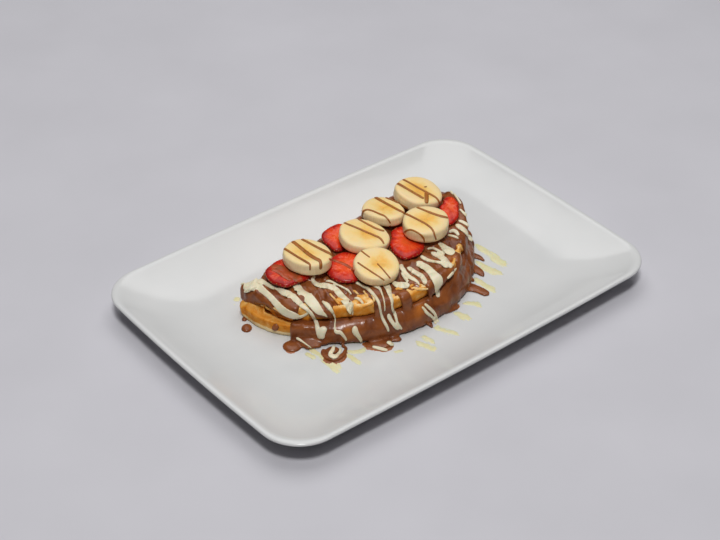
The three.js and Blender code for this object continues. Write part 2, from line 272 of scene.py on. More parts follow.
# stripes of white chocolate on the food, and one painted highlight
WHITE_AND_HIGHLIGHT = strokes(
    [243.6, 289.6, 6, 246.4, 287.6, 10, 250, 286, 12.6, 254, 285.8, 13.4, 258, 287.8, 10.5, 262.5,
     290.6, 7.6, 267, 294, 6.4, 271.5, 298.2, 6.4, 276, 303.2, 6.8, 280.5, 308.2, 7.6, 285, 311.8,
     8, 290, 314.2, 7.6, 294.6, 315.8, 7, 298, 317, 5],
    [296, 317, 3.6, 300.5, 316.6, 3, 305, 314.8, 2.6, 309, 312.2, 2],
    [251, 279.4, 3.6, 255.5, 279.6, 5, 260, 281.2, 5.2, 264.5, 283.2, 4.6, 269, 285.4, 4.4, 274,
     287.6, 5.2, 279, 290, 6.2, 284, 292.6, 6.8, 289, 295, 7.2, 294, 298.2, 7, 298, 301.6, 6, 302,
     305.8, 4.8, 307, 309.4, 4, 311, 313, 3.6, 313.6, 317, 3.4, 315.6, 320.5, 3.8, 317, 325, 4.4,
     318, 330, 5, 319.5, 335, 5.4, 322, 339, 5],
    [324, 326.2, 5, 323.5, 329, 7.5, 322.5, 332.5, 6.5, 322.2, 336, 5.5, 324.5, 338, 5.5],
    [293, 286.4, 3, 297, 287.6, 7, 301, 290.6, 9.6, 305, 294.6, 10.4, 309, 299, 10.6, 313, 303.6,
     10.2, 316.3, 307.8, 9.4, 319.8, 311.5, 7.8, 323, 313.6, 4.2, 326, 315.6, 2.4, 327.6, 317.6, 1.6],
    [315.5, 275.4, 3, 312.4, 279.3, 3.8, 314.5, 282.8, 4.4, 318.5, 285.3, 4.6, 324, 285.8, 5.6, 330,
     287, 5.6, 335, 289.6, 6.2, 338.8, 293.2, 6.2, 342.3, 297.3, 6.8, 346, 301.6, 7.6, 349.6, 306,
     8.8, 351.2, 309.6, 8, 350.3, 312.2, 5],
    [326, 281.6, 2, 332, 282.3, 2, 337, 284.5, 1.9, 341.5, 287, 1.9, 346, 289.5, 2, 350, 292.5, 2.1,
     351.8, 295, 1.4],
    [354.5, 298.5, 1.6, 358, 299.2, 2.6, 361, 301.6, 2.6, 363, 304.2, 1.4],
    [322.5, 301.5, 2, 326, 304.5, 4.2, 328.8, 307.3, 4.6, 331.3, 310.5, 3.4, 333.5, 314, 2.4, 335,
     317.5, 1.8, 335.2, 321.5, 1.5, 334.8, 325.5, 1.6, 335, 329.5, 2.4, 336.4, 332, 4.2, 340, 332.2,
     4.2, 343, 335.2, 3.2, 345.4, 338.6, 2.8, 346.4, 341, 1.8],
    [355.4, 325.4, 2.6, 354.9, 328.6, 5.8, 355.4, 332, 6.2, 358, 335.5, 4.6, 360.3, 339, 3.7, 361.5,
     341.6, 2.4],
    [355.5, 283, 2.2, 360.5, 285, 3, 365.5, 287.4, 3.4, 369.5, 290.6, 3.6, 373, 294.6, 3.4, 376.3,
     298.7, 3.3, 378.7, 303, 3, 379.8, 308, 2.5, 380.8, 313, 2.5, 382.3, 318, 3, 384.5, 322.6, 3.2,
     387, 327, 3, 388.6, 331.8, 2.2],
    [361, 281, 1.4, 366, 281.6, 2.2, 371, 283.5, 3.2, 375.5, 286.4, 3.4, 379.5, 289, 2.8, 381.8,
     293, 2.1, 383.3, 298, 1.6, 384.3, 303, 1.5, 384.7, 308, 1.4, 384.4, 311.5, 1],
    [378, 278.5, 3.6, 381.5, 281, 5, 385, 284.5, 6.2, 387.5, 288.5, 6.2, 388.8, 292.5, 4.6, 390.3,
     296.5, 3.7, 391.7, 301, 3.1, 391.9, 306, 2, 392.6, 310, 2.7, 394.6, 314, 3.2, 396, 318.5, 2.9,
     397.3, 323, 2.7, 400, 327, 3, 402, 329.6, 2],
    [388.2, 313.2, 2.6, 388.8, 316.6, 4.4, 390.6, 320.2, 4.2, 393, 323.6, 3.9, 395.6, 326.8, 4.2,
     399, 329, 3.6],
    [391.6, 280.4, 2.52, 394.2, 283, 4.2, 397.5, 285, 6.16, 401.5, 285.8, 6.72, 405.5, 285.2, 6.72,
     408.4, 283.3, 5.88],
    [401.3, 264.5, 3.64, 401.6, 268, 4.76, 403.8, 271.4, 4.48, 407, 275, 4.34, 411, 278.4, 4.2,
     415.3, 280.6, 3.22, 418.3, 283.2, 2.66, 419.6, 286, 1.68],
    [401.2, 272.6, 1.82, 403.5, 276.4, 2.66, 406.3, 280, 3.08, 408.5, 282.6, 3.36],
    [407.6, 267, 3.92, 410.8, 270.2, 4.48, 415, 272.8, 4.48, 419, 275.2, 4.9, 422.4, 278, 5.46,
     424.7, 281.3, 5.32, 425.2, 285, 3.36],
    [415.5, 262.6, 3.36, 418.6, 263.6, 6.72, 422, 265.6, 6.44, 426, 267.8, 7, 430, 271.2, 7.56,
     433.6, 275, 8.96, 436.6, 279, 10.92, 437.8, 283, 9.52, 437.5, 287, 6.44, 437.2, 291, 4.48,
     437.6, 294.5, 4.76, 437.3, 297.8, 5.6],
    [421, 256, 3.36, 424, 258.5, 3.92, 428, 260.4, 3.5, 433, 261.7, 2.94, 438, 262.4, 2.94, 442,
     263.5, 3.78, 445.4, 265.8, 5.32, 447.6, 268.4, 4.76],
    [430.5, 252.3, 3.08, 434, 254, 4.62, 438, 256, 5.74, 442, 258.4, 5.88, 446, 261.4, 5.88, 449.2,
     265, 5.88, 450.6, 268.6, 5.04],
    [427, 249.6, 2.24, 430, 248.3, 2.52, 434, 249, 2.52, 438, 251, 2.52, 442, 253.2, 2.8, 445.5,
     254.5, 2.24],
    [437.5, 243, 3.08, 441, 245, 5.32, 444.5, 247.9, 6.44, 448, 250.6, 8.12, 451, 253.2, 8.68, 452,
     255.6, 5.6],
    [448.5, 232.6, 2.52, 453, 231.2, 3.92, 456.5, 232.8, 3.92, 459, 236, 2.52],
    [447.5, 235.9, 1.82, 452, 236.6, 1.96, 456, 237.8, 1.96, 458.5, 239.2, 1.4],
    [458, 221, 2.52, 462, 222.1, 3.22, 466, 224.6, 3.08, 468.6, 228, 2.66, 469.4, 231.5, 1.82],
    [455.6, 224.5, 3.08, 459, 226.6, 4.9, 463, 230, 5.18, 466.6, 234, 4.9, 469.4, 238, 4.34, 471,
     242, 3.64],
    [459.5, 209, 1.96, 463, 212.6, 2.66, 466, 216.6, 2.66, 467.4, 219.4, 1.68],
    [454, 194.4, 1.68, 457.6, 199, 2.24, 461, 204.6, 1.96],
    [446.4, 190, 1.68, 450, 191.6, 2.24, 453.4, 194.8, 1.68],
    [424, 303.6, 2.2, 426.6, 306, 3, 429.6, 308.8, 3.4, 432.6, 311.4, 3.2, 435, 314.6, 2.8, 436.6,
     318.5, 2.4, 438.4, 322.5, 2],
    [421.5, 306.4, 2, 424, 309.4, 2.6, 426.2, 312.6, 3.2, 429.4, 315, 3.2, 432.4, 317.4, 2.8, 434.4,
     320.8, 2.8, 436.2, 324.4, 2.4],
    # partly painted highlight, partly the pale waffle edge beneath: a pale strip along the lit lower edge of
    # the upper half at the right end
    [456.6, 268, 1.68, 452.4, 272.6, 2.52, 449, 276.2, 2.24, 446.6, 278.6, 1.4],
    [333.8, 346, 3, 332.8, 350, 4, 330.2, 354.5, 4.2, 334.2, 357.4, 4, 338, 354.5, 3.2, 340.4,
     350.4, 2.8, 339.4, 347.8, 1.6],
    [372, 346.6, 3, 377.5, 348.2, 3.4, 383, 349.8, 3, 388, 351, 2.2],
    [386.8, 341.8, 3.2, 390.4, 344, 3.6, 394, 346, 2.6],
    [296.4, 337.4, 2.6, 299.6, 339.8, 2.8, 303, 342.2, 1.9, 307.5, 345.4, 1.4, 311.5, 348.2, 1.1],
)
# the same, thin on the plate
YELLOW = strokes(
    [304.5, 344.5, 3, 312, 350.5, 4.6, 320, 356, 5.6, 327, 361, 7, 333, 365.6, 9, 338, 368.6, 10.5,
     342, 370, 8],
    [342, 353, 3, 350, 356.5, 4.4, 357, 361.5, 4.6, 362, 364.6, 3.4],
    [346, 351, 2.6, 354, 352, 3.6, 362, 350.6, 4.6, 366, 347.8, 4.6],
    [393, 352, 2.4, 399, 351.5, 3, 404, 350.5, 2],
    [415, 341.5, 4, 424, 345.5, 5, 433, 348.3, 5.6, 438, 348.5, 3.6],
    [420.5, 336, 4, 428, 339.5, 5, 434.5, 344, 5.4],
    [433.5, 326.5, 5, 439, 328.5, 6, 446, 331, 6.2, 453, 333, 5.6, 459.5, 335.6, 3.6],
    [473.5, 243, 3.6, 479, 247.4, 5, 485, 251.2, 6, 491, 255.2, 6.8, 497, 259.4, 7.2, 503, 262.8,
     7.6, 508.5, 265, 5.6],
    [474.5, 261, 4, 480, 264.6, 5.6, 486, 268, 6.4, 492, 270.8, 6.4, 498, 273, 5.6, 503.4, 274.8,
     3.6],
    [472.5, 277.5, 3.4, 477, 281, 5, 482, 283.6, 5.4, 487, 286.6, 5.8, 492, 289.6, 5.6, 497, 292.2,
     4.4],
    [462.3, 303, 3.2, 471, 303.4, 4.6, 478, 304.6, 5, 483, 307, 3.6],
    [452.8, 312.6, 4, 461, 315.4, 6.2, 467, 317.8, 6, 472, 319.4, 4],
    [232.5, 299, 4, 237, 299, 4.4, 241, 299, 3.4],
    [232.5, 304.6, 2.4, 236.5, 304.8, 2.6],
    [304.5, 353, 3, 311, 356, 4, 316, 359.4, 3.6],
)
# runs and pools of chocolate on the plate
FINGERS = strokes(
    [468, 255.6, 5, 473, 256.4, 5.2, 478, 257.8, 4.6, 482, 259.8, 3.6, 485, 262, 2.4],
    [468, 267, 7, 473, 269, 7.6, 478, 271.8, 7.4, 482, 275, 6, 483.4, 277.6, 3.6],
    [467, 278, 5, 471, 280, 4.4, 474.6, 282.4, 2.4],
    [458, 291.5, 7, 464, 289.2, 7.6, 470, 288.4, 7.8, 476, 289.8, 7.4, 481, 291.8, 7.2, 486, 294.2,
     7, 489.4, 296, 6],
    [438, 312.6, 4, 443, 312.4, 5.4, 448, 310.6, 7, 452.5, 308.2, 7.6, 456.4, 306.4, 6, 459.2,
     306.6, 3],
    [425, 320, 5, 428.4, 323, 5.4, 431, 326.4, 4.4, 432.4, 329, 2.4],
    [324.6, 349, 4.4, 323, 353.5, 5.4, 328, 358.5, 5, 335, 359.6, 5, 341, 357.4, 5, 344.6, 352.6,
     4.6, 346, 348.6, 3.6, 341, 346, 3],
    [330, 347.5, 11, 333, 352, 12, 336, 355, 9],
    [368, 344.5, 5, 377, 344, 8, 386, 344, 9, 392.5, 344, 7.5],
    [390, 340.4, 4.4, 397, 340, 5.2, 402, 341.4, 4],
)
# ridges in the chocolate of the front and the right end
RIDGES = strokes(
    [257.5, 284, 2.4, 262, 287.2, 3, 266, 290.6, 3.6, 271, 293.4, 4, 277.5, 296.6, 4.4, 284, 300.6,
     5, 289.5, 305, 5.6, 293.6, 308.8, 5],
    [461, 208, 3, 464.5, 211.6, 3.6, 467.4, 216, 3.4],
    [466, 220.6, 2.6, 469, 225, 3.4, 470, 230, 3],
    [458.4, 254, 3, 458.8, 262, 3.6, 457.6, 271, 3.2, 455, 280, 2.6],
    [463.6, 250, 2.6, 464.6, 260, 3.2, 463.4, 270, 3, 461, 281, 2.6],
    [452, 280, 3, 449, 287, 3.4, 445.6, 295, 3],
    [444, 286, 2.4, 441.6, 293, 3, 439.6, 301, 2.6],
    [468.8, 250, 2, 470, 262, 2.4, 469, 272, 2.2],
    [302, 322, 3, 304, 328, 4, 303, 334, 3],
    [331, 318, 3, 330, 326, 3.6, 331, 334, 3],
    [365, 318, 3, 364, 326, 3.4, 366, 334, 3],
    [405, 312, 3, 406, 319, 3.4, 408, 326, 3],
)
# thin chocolate on the plate
BROWN = strokes(
    [362, 344.6, 5, 368, 344.8, 10, 375, 345, 12, 382, 346, 12.5, 388, 345.6, 11, 394, 343.6, 6],
    [441, 309.5, 5, 448, 308.6, 9, 455, 306.6, 8, 460.5, 306, 4],
    [322, 357, 6, 328, 360.5, 7, 336, 361.5, 7, 343, 358, 6, 347, 352, 5],
    [284, 348.6, 5, 291, 350, 8, 298, 349.6, 6],
)
# bare ridges of the waffle's grid
CRUMBS = strokes(
    [260.5, 304.4, 1.6, 264, 305.4, 2.4, 268, 307.6, 2.8, 271.6, 310.4, 2],
    [273, 307.4, 1.6, 277, 309.6, 2.2, 281.4, 312.6, 1.6],
    [329.4, 293.6, 1.8, 332.4, 296.8, 2.6, 336, 300.6, 2.4, 340, 304.6, 2],
    [362.4, 307.4, 1.8, 366, 305.6, 2.6, 370, 304.4, 2.6, 374, 302.8, 2],
    [363.6, 291.6, 2, 366.4, 295, 2.6, 368, 298.8, 2.2],
    [371, 294.6, 1.6, 373.6, 298.4, 2.4, 375, 302, 2],
    [352.6, 290.2, 1.6, 356, 292.6, 2, 359, 295, 1.6],
    [395, 289.6, 2, 399, 289, 2.8, 403, 289.4, 2.2],
    [410.4, 288.4, 2, 414.6, 288.6, 3, 419, 289.4, 3.2, 424, 289.4, 3, 429, 288.6, 2.2],
    [457.8, 243.4, 2.6, 460.2, 246, 3.6, 461.6, 249.4, 4, 461, 252.2, 2.6],
    [450.6, 267.4, 2.4, 452.6, 264.6, 3.4, 454.2, 261, 3.6, 454.8, 257.8, 2.4],
)
# thin lines of chocolate on the fruit
THREADS = strokes(
    [281.6, 249.4, 2.6, 283.6, 248.4, 2.4, 289, 251.6, 2.2, 295, 255.4, 2.1, 301, 259, 2.1, 306.5,
     262.2, 2.1, 309.8, 264.4, 2, 310, 267.5, 1.8, 310, 270.5, 1.4],
    [288.8, 239.6, 3.2, 292, 241, 3.2, 298, 245.6, 3.3, 304, 250.6, 3.5, 309.6, 255, 3.6, 315,
     258.4, 3.4, 319.6, 260.8, 3.3, 320.7, 264, 3.2, 320.7, 267.6, 3, 320.4, 269.6, 2],
    [296, 237.4, 2.2, 300.5, 238.6, 2.2, 306, 241.4, 2.2, 312, 244.6, 2.3, 318, 247.8, 2.3, 324,
     250.8, 2.4, 329.5, 253.6, 2.4, 332.2, 256, 2.4, 332.4, 259, 2],
    [341.8, 221.7, 1.8, 348, 224.4, 1.8, 354.4, 227, 1.8, 360.6, 229.6, 1.9, 367, 232.4, 2, 373,
     235, 2, 379, 237.7, 2.1, 382, 240.5, 2, 384, 244.2, 1.6],
    [355, 216.6, 2, 359, 219.4, 1.9, 364, 222.3, 1.8, 370, 225.6, 1.9, 376, 228.6, 1.9, 381, 230.4,
     1.8, 384.5, 231, 1.4],
    [357.4, 262.4, 1.6, 363, 266.4, 1.5, 368.6, 270, 1.5, 374, 273.6, 1.5, 380, 277.4, 1.5, 384.5,
     280.4, 1.4],
    [377, 263.6, 1.3, 381.4, 268, 1.3, 386, 273.4, 1.3, 390.4, 278.6, 1.4],
    [361, 250.7, 1.4, 365, 254, 1.4, 370, 257.6, 1.2],
    [373.4, 196, 2.8, 378, 199, 2.8, 384, 202.4, 2.6, 390, 205.6, 2.4, 397, 209.4, 2.3, 404, 213,
     2.2, 412, 216.8, 2.1, 419, 220.4, 2, 425.6, 224, 2.1, 431, 228, 2, 433.4, 231.6, 2, 434.6, 235,
     1.8, 436.2, 240, 1.6],
    [379.5, 195.4, 1.8, 386, 197.8, 1.8, 393, 200.7, 1.9, 400, 204.2, 2, 406.4, 207.6, 2.2, 408.4,
     208.4, 2],
    [362.2, 217.6, 2, 362.4, 213.4, 1.9, 364.4, 210.6, 1.8, 368, 209.9, 1.8, 373.6, 211.4, 1.7,
     379.4, 214, 1.8, 384.4, 216, 1.7, 388, 219.4, 1.7, 390.6, 223.6, 1.5],
    [415.4, 206.8, 1.8, 422, 209.4, 2, 430, 212.6, 2.2, 438, 215.4, 2.3, 444.6, 217.2, 2.3, 448.6,
     217.8, 1.8],
    [404.6, 232.2, 1.9, 407.4, 230.2, 1.8, 411.4, 229.9, 1.8, 416, 231.8, 1.8, 420.6, 234.6, 1.8,
     423.6, 238, 1.8, 424.4, 241.6, 1.5],
    [395.2, 182, 2.8, 401, 185.4, 2.5, 407, 188.9, 2.4, 413, 192.4, 2.4, 419, 196, 2.4, 424, 198.8,
     2.2],
    [401.6, 178.8, 1.9, 407, 181.6, 1.9, 414, 185.4, 1.9, 421, 189.4, 2, 428, 193.2, 2, 434.6,
     196.8, 2, 437.6, 199.6, 1.9, 439.4, 203, 1.8, 441, 206.4, 1.6],
    [426.4, 192.4, 4, 426.6, 198, 4.4, 426.3, 203.6, 3.8],
    [425, 186.4, 2.8, 426, 187.6, 2.8],
    [426.3, 177.4, 2, 430, 179, 2.4, 433.6, 181.4, 1.8],
)
# smears of chocolate on the strawberries, and one painted shadow
SMEARS_AND_SHADOW = strokes(
    [271, 264.6, 5, 277, 267.6, 7, 284, 270.6, 8, 291, 274.4, 8.4, 298, 278.4, 8, 303, 280.6, 5],
    [272, 268.6, 4, 279, 272, 4, 286, 277, 4.4, 292, 280.4, 3.4],
    [328.6, 259, 2, 335, 260.6, 2.4, 342, 263.2, 2.6, 349, 266.8, 2.8, 354.6, 270.6, 2.4],
    # painted shadow: a dark red film on the back edge of strawberry 4, where banana 4 shades it
    [389.4, 225.6, 2, 393, 228.4, 3, 396.6, 228.8, 3],
)
# the band of chocolate over the left tip
TIP_BAND = strokes(
    [243.8, 299.4, 9, 247.5, 299.4, 11.6, 251, 299.2, 12, 256, 299.6, 11.6, 261, 301, 8.6, 266,
     303.4, 5.4, 271, 306.4, 3.6],
    [244.4, 293, 6, 249, 292.6, 7, 254, 292.6, 7, 260, 294, 6],
    [244.6, 290.6, 7, 248, 287.4, 9, 251, 284, 10, 256, 279.4, 8, 261, 274.6, 6, 266, 270, 5],
)
# sauce heaped at the right, as (angle, radius, height, half width)
ROPES = strokes(
    [347, 88, 28.5, 2.6, 340, 90, 30, 3.2, 332, 90.5, 30.4, 3.4, 324, 90.3, 30, 3.3, 315, 90, 29,
     3.0, 306, 89, 28, 2.2],
    [343, 89.5, 31.5, 2.2, 338, 90.8, 33.4, 2.8, 331, 91.6, 34, 2.9, 325, 91.2, 32.6, 2.5, 319,
     90.6, 30.6, 2],
    [336, 84, 30, 3, 326, 84.5, 30.2, 3, 317, 85, 29.6, 2.6],
    [350, 84, 29, 1.8, 338, 86.6, 32.6, 2.0, 329, 87.2, 33.4, 2.0, 320, 86.4, 31.6, 1.8, 312, 86,
     29.6, 1.4],
    size=4,
)


# ---- camera -----------------------------------------------------------------

EYE = np.array([-620.79, -736.23, 729.82])
AHEAD = np.array([0.51018964, 0.6233535, -0.59256809])
RIGHT = np.array([0.77534719, -0.631527, 0.00322248])
UP = np.array([0.37221401, 0.46109008, 0.80551392])
FRAME_W, FRAME_H = 720, 540
FOCAL = 1713.77  # in points of the frame
SENSOR = 36  # mm

cam = link("camera", bpy.data.cameras.new("camera"))
cam.matrix_world = Matrix([*np.column_stack([RIGHT, UP, -AHEAD, EYE * MM]).tolist(), [0, 0, 0, 1]])
cam.data.sensor_width = SENSOR
cam.data.sensor_fit = "HORIZONTAL"
cam.data.lens = FOCAL / FRAME_W * SENSOR
cam.data.clip_start = 0.01
bpy.context.scene.camera = cam


def meet(tree, x, y):
    """Where the ray through a point of the frame meets the tree, and the normal."""
    d = AHEAD + RIGHT * ((x - FRAME_W / 2) / FOCAL) - UP * ((y - FRAME_H / 2) / FOCAL)
    hit, normal, _, _ = tree.ray_cast(Vector(EYE), Vector(d))
    return None if hit is None else (np.array(hit), np.array(normal))


def on_frame(p):
    """Frame points of points in mm."""
    d = np.asarray(p, float) - EYE
    depth = d @ AHEAD
    return FRAME_W / 2 + FOCAL * (d @ RIGHT) / depth, FRAME_H / 2 - FOCAL * (d @ UP) / depth


def paint(
    parts, tree, stroke, height, sink=0.2, gap=0.55, sides=12, rounds=3, jump=10.0, grow=1.0, keep=None
):
    """A strand of sauce on what carries it, along a line of the frame given as
    (x, y, width). Its height is in mm. It breaks where the line jumps."""
    pieces, rows = [], []
    for x, y, w in evenly(smooth_path(stroke, 6), 0.5):
        found = meet(tree, x, y)
        if found and keep and not keep(found[0]):
            found = None
        if not found or (rows and np.linalg.norm(found[0] - rows[-1][:3]) > jump):
            pieces.append(rows)
            rows = []
        if found:
            rows.append(np.r_[found[0], found[1], w])
    for rows in pieces + [rows]:
        if len(rows) < 4:
            continue
        rows = np.array(rows)
        line = soften(rows[:, :3], rounds)
        up = unit(soften(rows[:, 3:6], 2 * rounds))
        tangent = unit(np.gradient(line, axis=0))
        side = unit(np.cross(up, tangent))
        # how wide one mm across the strand looks in the frame
        scale = FOCAL / ((line - EYE) @ AHEAD)
        s = np.column_stack([side @ RIGHT, -(side @ UP)]) * scale[:, None]
        t = np.column_stack([tangent @ RIGHT, -(tangent @ UP)])
        seen = np.abs(s[:, 0] * t[:, 1] - s[:, 1] * t[:, 0])
        seen /= np.maximum(np.linalg.norm(t, axis=1), 1e-6)
        half = 0.5 * grow * rows[:, 6] / np.maximum(seen, 0.85)
        table = evenly(np.column_stack([line, up, half]), gap)
        if len(table) < 3:
            continue
        up = unit(table[:, 3:6])
        half = soften(table[:, 6:7], 2)[:, 0]
        tall = height * np.clip(half / max(half.max(), 0.01), 0.6, 1)
        centre = table[:, :3] + up * ((tall - sink) * 0.5)[:, None]
        tube(parts, centre, up, half, (tall + sink) * 0.5, sides)


def paint_all(parts, tree, strokes, *how, **more):
    for stroke in strokes:
        paint(parts, tree, stroke, *how, **more)


def puddle(parts, tree, x, y, wide, deep, height, levels=12, sides=20):
    """A round drop on what carries it, its size across the frame and up it in
    frame points, its height in mm."""
    at, up = meet(tree, x, y)
    scale = FOCAL / ((at - EYE) @ AHEAD)
    side = unit(np.cross(AHEAD, up))
    away = np.cross(up, side)
    rx = 0.5 * wide / scale
    ry = 0.5 * deep / scale / max(abs(away @ UP), 0.3)
    a = turns(sides)
    rings = []
    for i in range(levels + 1):
        b = math.pi * (i / levels - 0.5)
        k = max(math.cos(b), 0.01)
        flat = at + (rx * k * np.cos(a))[:, None] * side + (ry * k * np.sin(a))[:, None] * away
        rings.append(flat + up * (height * max(math.sin(b), -0.3)))
    ends = [list(range(sides)), [levels * sides + i for i in reversed(range(sides))]]
    parts.take(np.vstack(rings), strips(levels + 1, sides, True, flip=True) + ends)


FILM_GAP = 0.9  # frame points between a film's points


def film(parts, tree, stroke, height, seed, ragged=0.75):
    """A thin, uneven film on what carries it, along (x, y, width) of the frame.
    Returns how full it is at each new point: 0 at its edges, 1 in its middle."""
    line = evenly(smooth_path(stroke, 6), FILM_GAP)
    tangent = unit(np.gradient(line[:, :2], axis=0))
    across = 2 * int(math.ceil(line[:, 2].max() * 0.62 / FILM_GAP)) + 1
    t = np.linspace(-1.25, 1.25, across)
    rows = []
    for (x, y, w), (tx, ty) in zip(line, tangent):
        row = [meet(tree, x - ty * k * w / 2, y + tx * k * w / 2) for k in t]
        if any(found is None for found in row):
            return np.zeros(0)
        rows.append([np.r_[found[0], found[1]] for found in row])
    rows = np.array(rows)
    n = len(rows)
    reached = np.arange(n) * FILM_GAP
    s, k = np.meshgrid(reached, t, indexing="ij")
    end = np.minimum(s, reached[-1] - s) / (0.5 * line[:, 2].mean() + 1)
    flat = np.column_stack([s.ravel() * 0.22, (k * line[:, 2:3]).ravel(), np.full(s.size, seed * 3.7)])
    streaks = noise(flat, 1.7, seed * 0.7) + 0.6 * noise(flat * [3, 1, 1], 1.1, seed * 1.3)
    full = np.clip(1.05 - np.abs(k) ** 2.0, -0.5, 1) + np.clip(end - 1, -1, 0)
    full = np.clip(full + ragged * streaks.reshape(s.shape) - 0.06, -0.2, 1)
    carrier, up = rows[..., :3], rows[..., 3:6]
    top = carrier + up * (height * full - 0.03)[..., None]
    low = carrier - up * 0.16
    quads = strips(n, across, False)
    half = n * across
    faces = quads + [[half + q for q in reversed(f)] for f in quads]
    border = list(range(across)) + [r * across + across - 1 for r in range(1, n)]
    border += [(n - 1) * across + i for i in range(across - 2, -1, -1)]
    border += [r * across for r in range(n - 2, 0, -1)]
    for one, two in zip(border, border[1:] + border[:1]):
        faces.append([two, one, half + one, half + two])
    parts.take(np.vstack([top.reshape(-1, 3), low.reshape(-1, 3)]), faces)
    return np.r_[full.ravel(), np.zeros(half)]


# ---- materials --------------------------------------------------------------


class Look:
    """A Principled material, with short calls for the nodes in front of it."""

    def __init__(self, name, **values):
        self.material = bpy.data.materials.new(name)
        self.material.use_nodes = True
        self.tree = self.material.node_tree
        self.shader = self.tree.nodes["Principled BSDF"]
        for key, value in values.items():
            self.shader.inputs[key.replace("_", " ")].default_value = value
        self.at = self.tree.nodes.new("ShaderNodeTexCoord").outputs["Object"]

    def node(self, kind, values=None, **settings):
        n = self.tree.nodes.new(kind)
        for key, value in settings.items():
            setattr(n, key, value)
        for key, value in (values or {}).items():
            if isinstance(value, bpy.types.NodeSocket):
                self.tree.links.new(value, n.inputs[key])
            else:
                n.inputs[key].default_value = value
        return n

    def send(self, socket, to):
        self.tree.links.new(socket, self.shader.inputs[to])

    def attribute(self, name, output="Fac"):
        return self.node("ShaderNodeAttribute", attribute_name=name).outputs[output]

    def noise(self, scale, detail=2.0, rough=0.5, at=None, warp=0.0):
        values = {"Vector": at or self.at, "Scale": scale, "Detail": detail}
        values.update({"Roughness": rough, "Distortion": warp})
        return self.node("ShaderNodeTexNoise", values).outputs["Fac"]

    def maths(self, operation, a, b=0.0, clamp=False):
        return self.node("ShaderNodeMath", {0: a, 1: b}, operation=operation, use_clamp=clamp).outputs[0]

    def span(self, value, a, b, low=0.0, high=1.0):
        values = {"Value": value, "From Min": a, "From Max": b, "To Min": low, "To Max": high}
        return self.node("ShaderNodeMapRange", values, interpolation_type="SMOOTHSTEP").outputs[0]

    def rough(self, value, low, high):
        self.send(self.span(value, 0.3, 0.7, low, high), "Roughness")

    def slice_place(self):
        """A slice's "local" (x and y over its radius, z over its thickness), and
        from it the height, the radius and the angle."""
        local = self.attribute("local", "Vector")
        parts = self.node("ShaderNodeSeparateXYZ", {0: local}).outputs
        flat = self.node("ShaderNodeCombineXYZ", {"X": parts[0], "Y": parts[1]}).outputs[0]
        radius = self.node("ShaderNodeVectorMath", {0: flat}, operation="LENGTH").outputs["Value"]
        return local, parts[2], radius, self.maths("ARCTAN2", parts[1], parts[0])

    def rays(self, angle, count, other, detail):
        """Noise in streaks that run out from the slice's middle, or up its side."""
        values = {"X": self.maths("MULTIPLY", angle, count), "Y": other}
        return self.noise(1.0, detail, 0.6, self.node("ShaderNodeCombineXYZ", values).outputs[0])

    def ramp(self, value, *stops):
        n = self.node("ShaderNodeValToRGB", {"Fac": value})
        band = n.color_ramp.elements
        while len(band) < len(stops):
            band.new(0.5)
        for e, (where, colour) in zip(band, stops):
            e.position = where
            e.color = (*colour, 1)
        return n.outputs["Color"]

    def mix(self, factor, a, b):
        n = self.node("ShaderNodeMix", data_type="RGBA")
        for socket, value in ((n.inputs[0], factor), (n.inputs[6], a), (n.inputs[7], b)):
            if isinstance(value, bpy.types.NodeSocket):
                self.tree.links.new(value, socket)
            else:
                socket.default_value = (*value, 1) if isinstance(value, tuple) else value
        return n.outputs[2]

    def bump(self, *layers):
        """Layers of (height, strength, distance in mm), one over another."""
        normal = None
        for height, strength, distance in layers:
            values = {"Height": height, "Strength": strength, "Distance": distance * MM}
            if normal:
                values["Normal"] = normal
            normal = self.node("ShaderNodeBump", values).outputs[0]
        self.send(normal, "Normal")


def glaze_look():
    k = Look("white_glaze", IOR=1.5)
    cloud = k.noise(14, 3, 0.5)
    k.send(k.ramp(cloud, (0.3, (0.625, 0.63, 0.625)), (0.7, (0.665, 0.665, 0.66))), "Base Color")
    k.send(k.span(k.noise(60, 3), 0.35, 0.7, 0.12, 0.22), "Roughness")
    k.bump((k.noise(26, 1), 0.12, 0.6), (k.noise(420, 2), 0.05, 0.1))
    return k.material


def waffle_look():
    k = Look("baked_waffle", Subsurface_Weight=0.06, Subsurface_Scale=0.004, Specular_IOR_Level=0.25)
    mottle = k.noise(150, 5, 0.6, warp=0.4)
    crumb = k.noise(900, 4, 0.65)
    tone = k.maths("ADD", k.attribute("bake"), k.span(mottle, 0.3, 0.7, -0.16, 0.16))
    tone = k.maths("ADD", tone, k.span(crumb, 0.3, 0.7, -0.05, 0.05), clamp=True)
    colour = k.ramp(
        tone,
        (0.0, (0.90, 0.70, 0.38)),
        (0.22, (0.80, 0.44, 0.12)),
        (0.42, (0.70, 0.29, 0.040)),
        (0.62, (0.66, 0.22, 0.010)),
        (0.82, (0.36, 0.095, 0.008)),
        (1.0, (0.16, 0.045, 0.010)),
    )
    k.send(colour, "Base Color")
    k.rough(mottle, 0.45, 0.7)
    pits = k.node("ShaderNodeTexVoronoi", {"Vector": k.at, "Scale": 480.0}).outputs["Distance"]
    k.bump((mottle, 0.35, 0.5), (pits, 0.25, 0.3), (crumb, 0.4, 0.25))
    return k.material


def chocolate_look(name="milk_chocolate", lift=1.0, thin=(0.55, 0.17, 0.022)):
    """Reads "thin": 0 where it is deep, 1 where what lies beneath shows through."""
    k = Look(name, Coat_Weight=0.14, Coat_Roughness=0.16, Specular_IOR_Level=0.30)
    flow = k.noise(90, 4, 0.55, warp=0.8)
    dark = tuple(c * lift for c in (0.150, 0.038, 0.010))
    light = tuple(c * lift for c in (0.290, 0.085, 0.021))
    colour = k.ramp(flow, (0.36, dark), (0.64, light))
    k.send(k.mix(k.attribute("thin"), colour, thin), "Base Color")
    k.rough(k.noise(200, 3), 0.25, 0.42)
    k.bump((k.noise(120, 2, warp=0.5), 0.25, 0.5), (k.noise(700, 2), 0.08, 0.15))
    return k.material


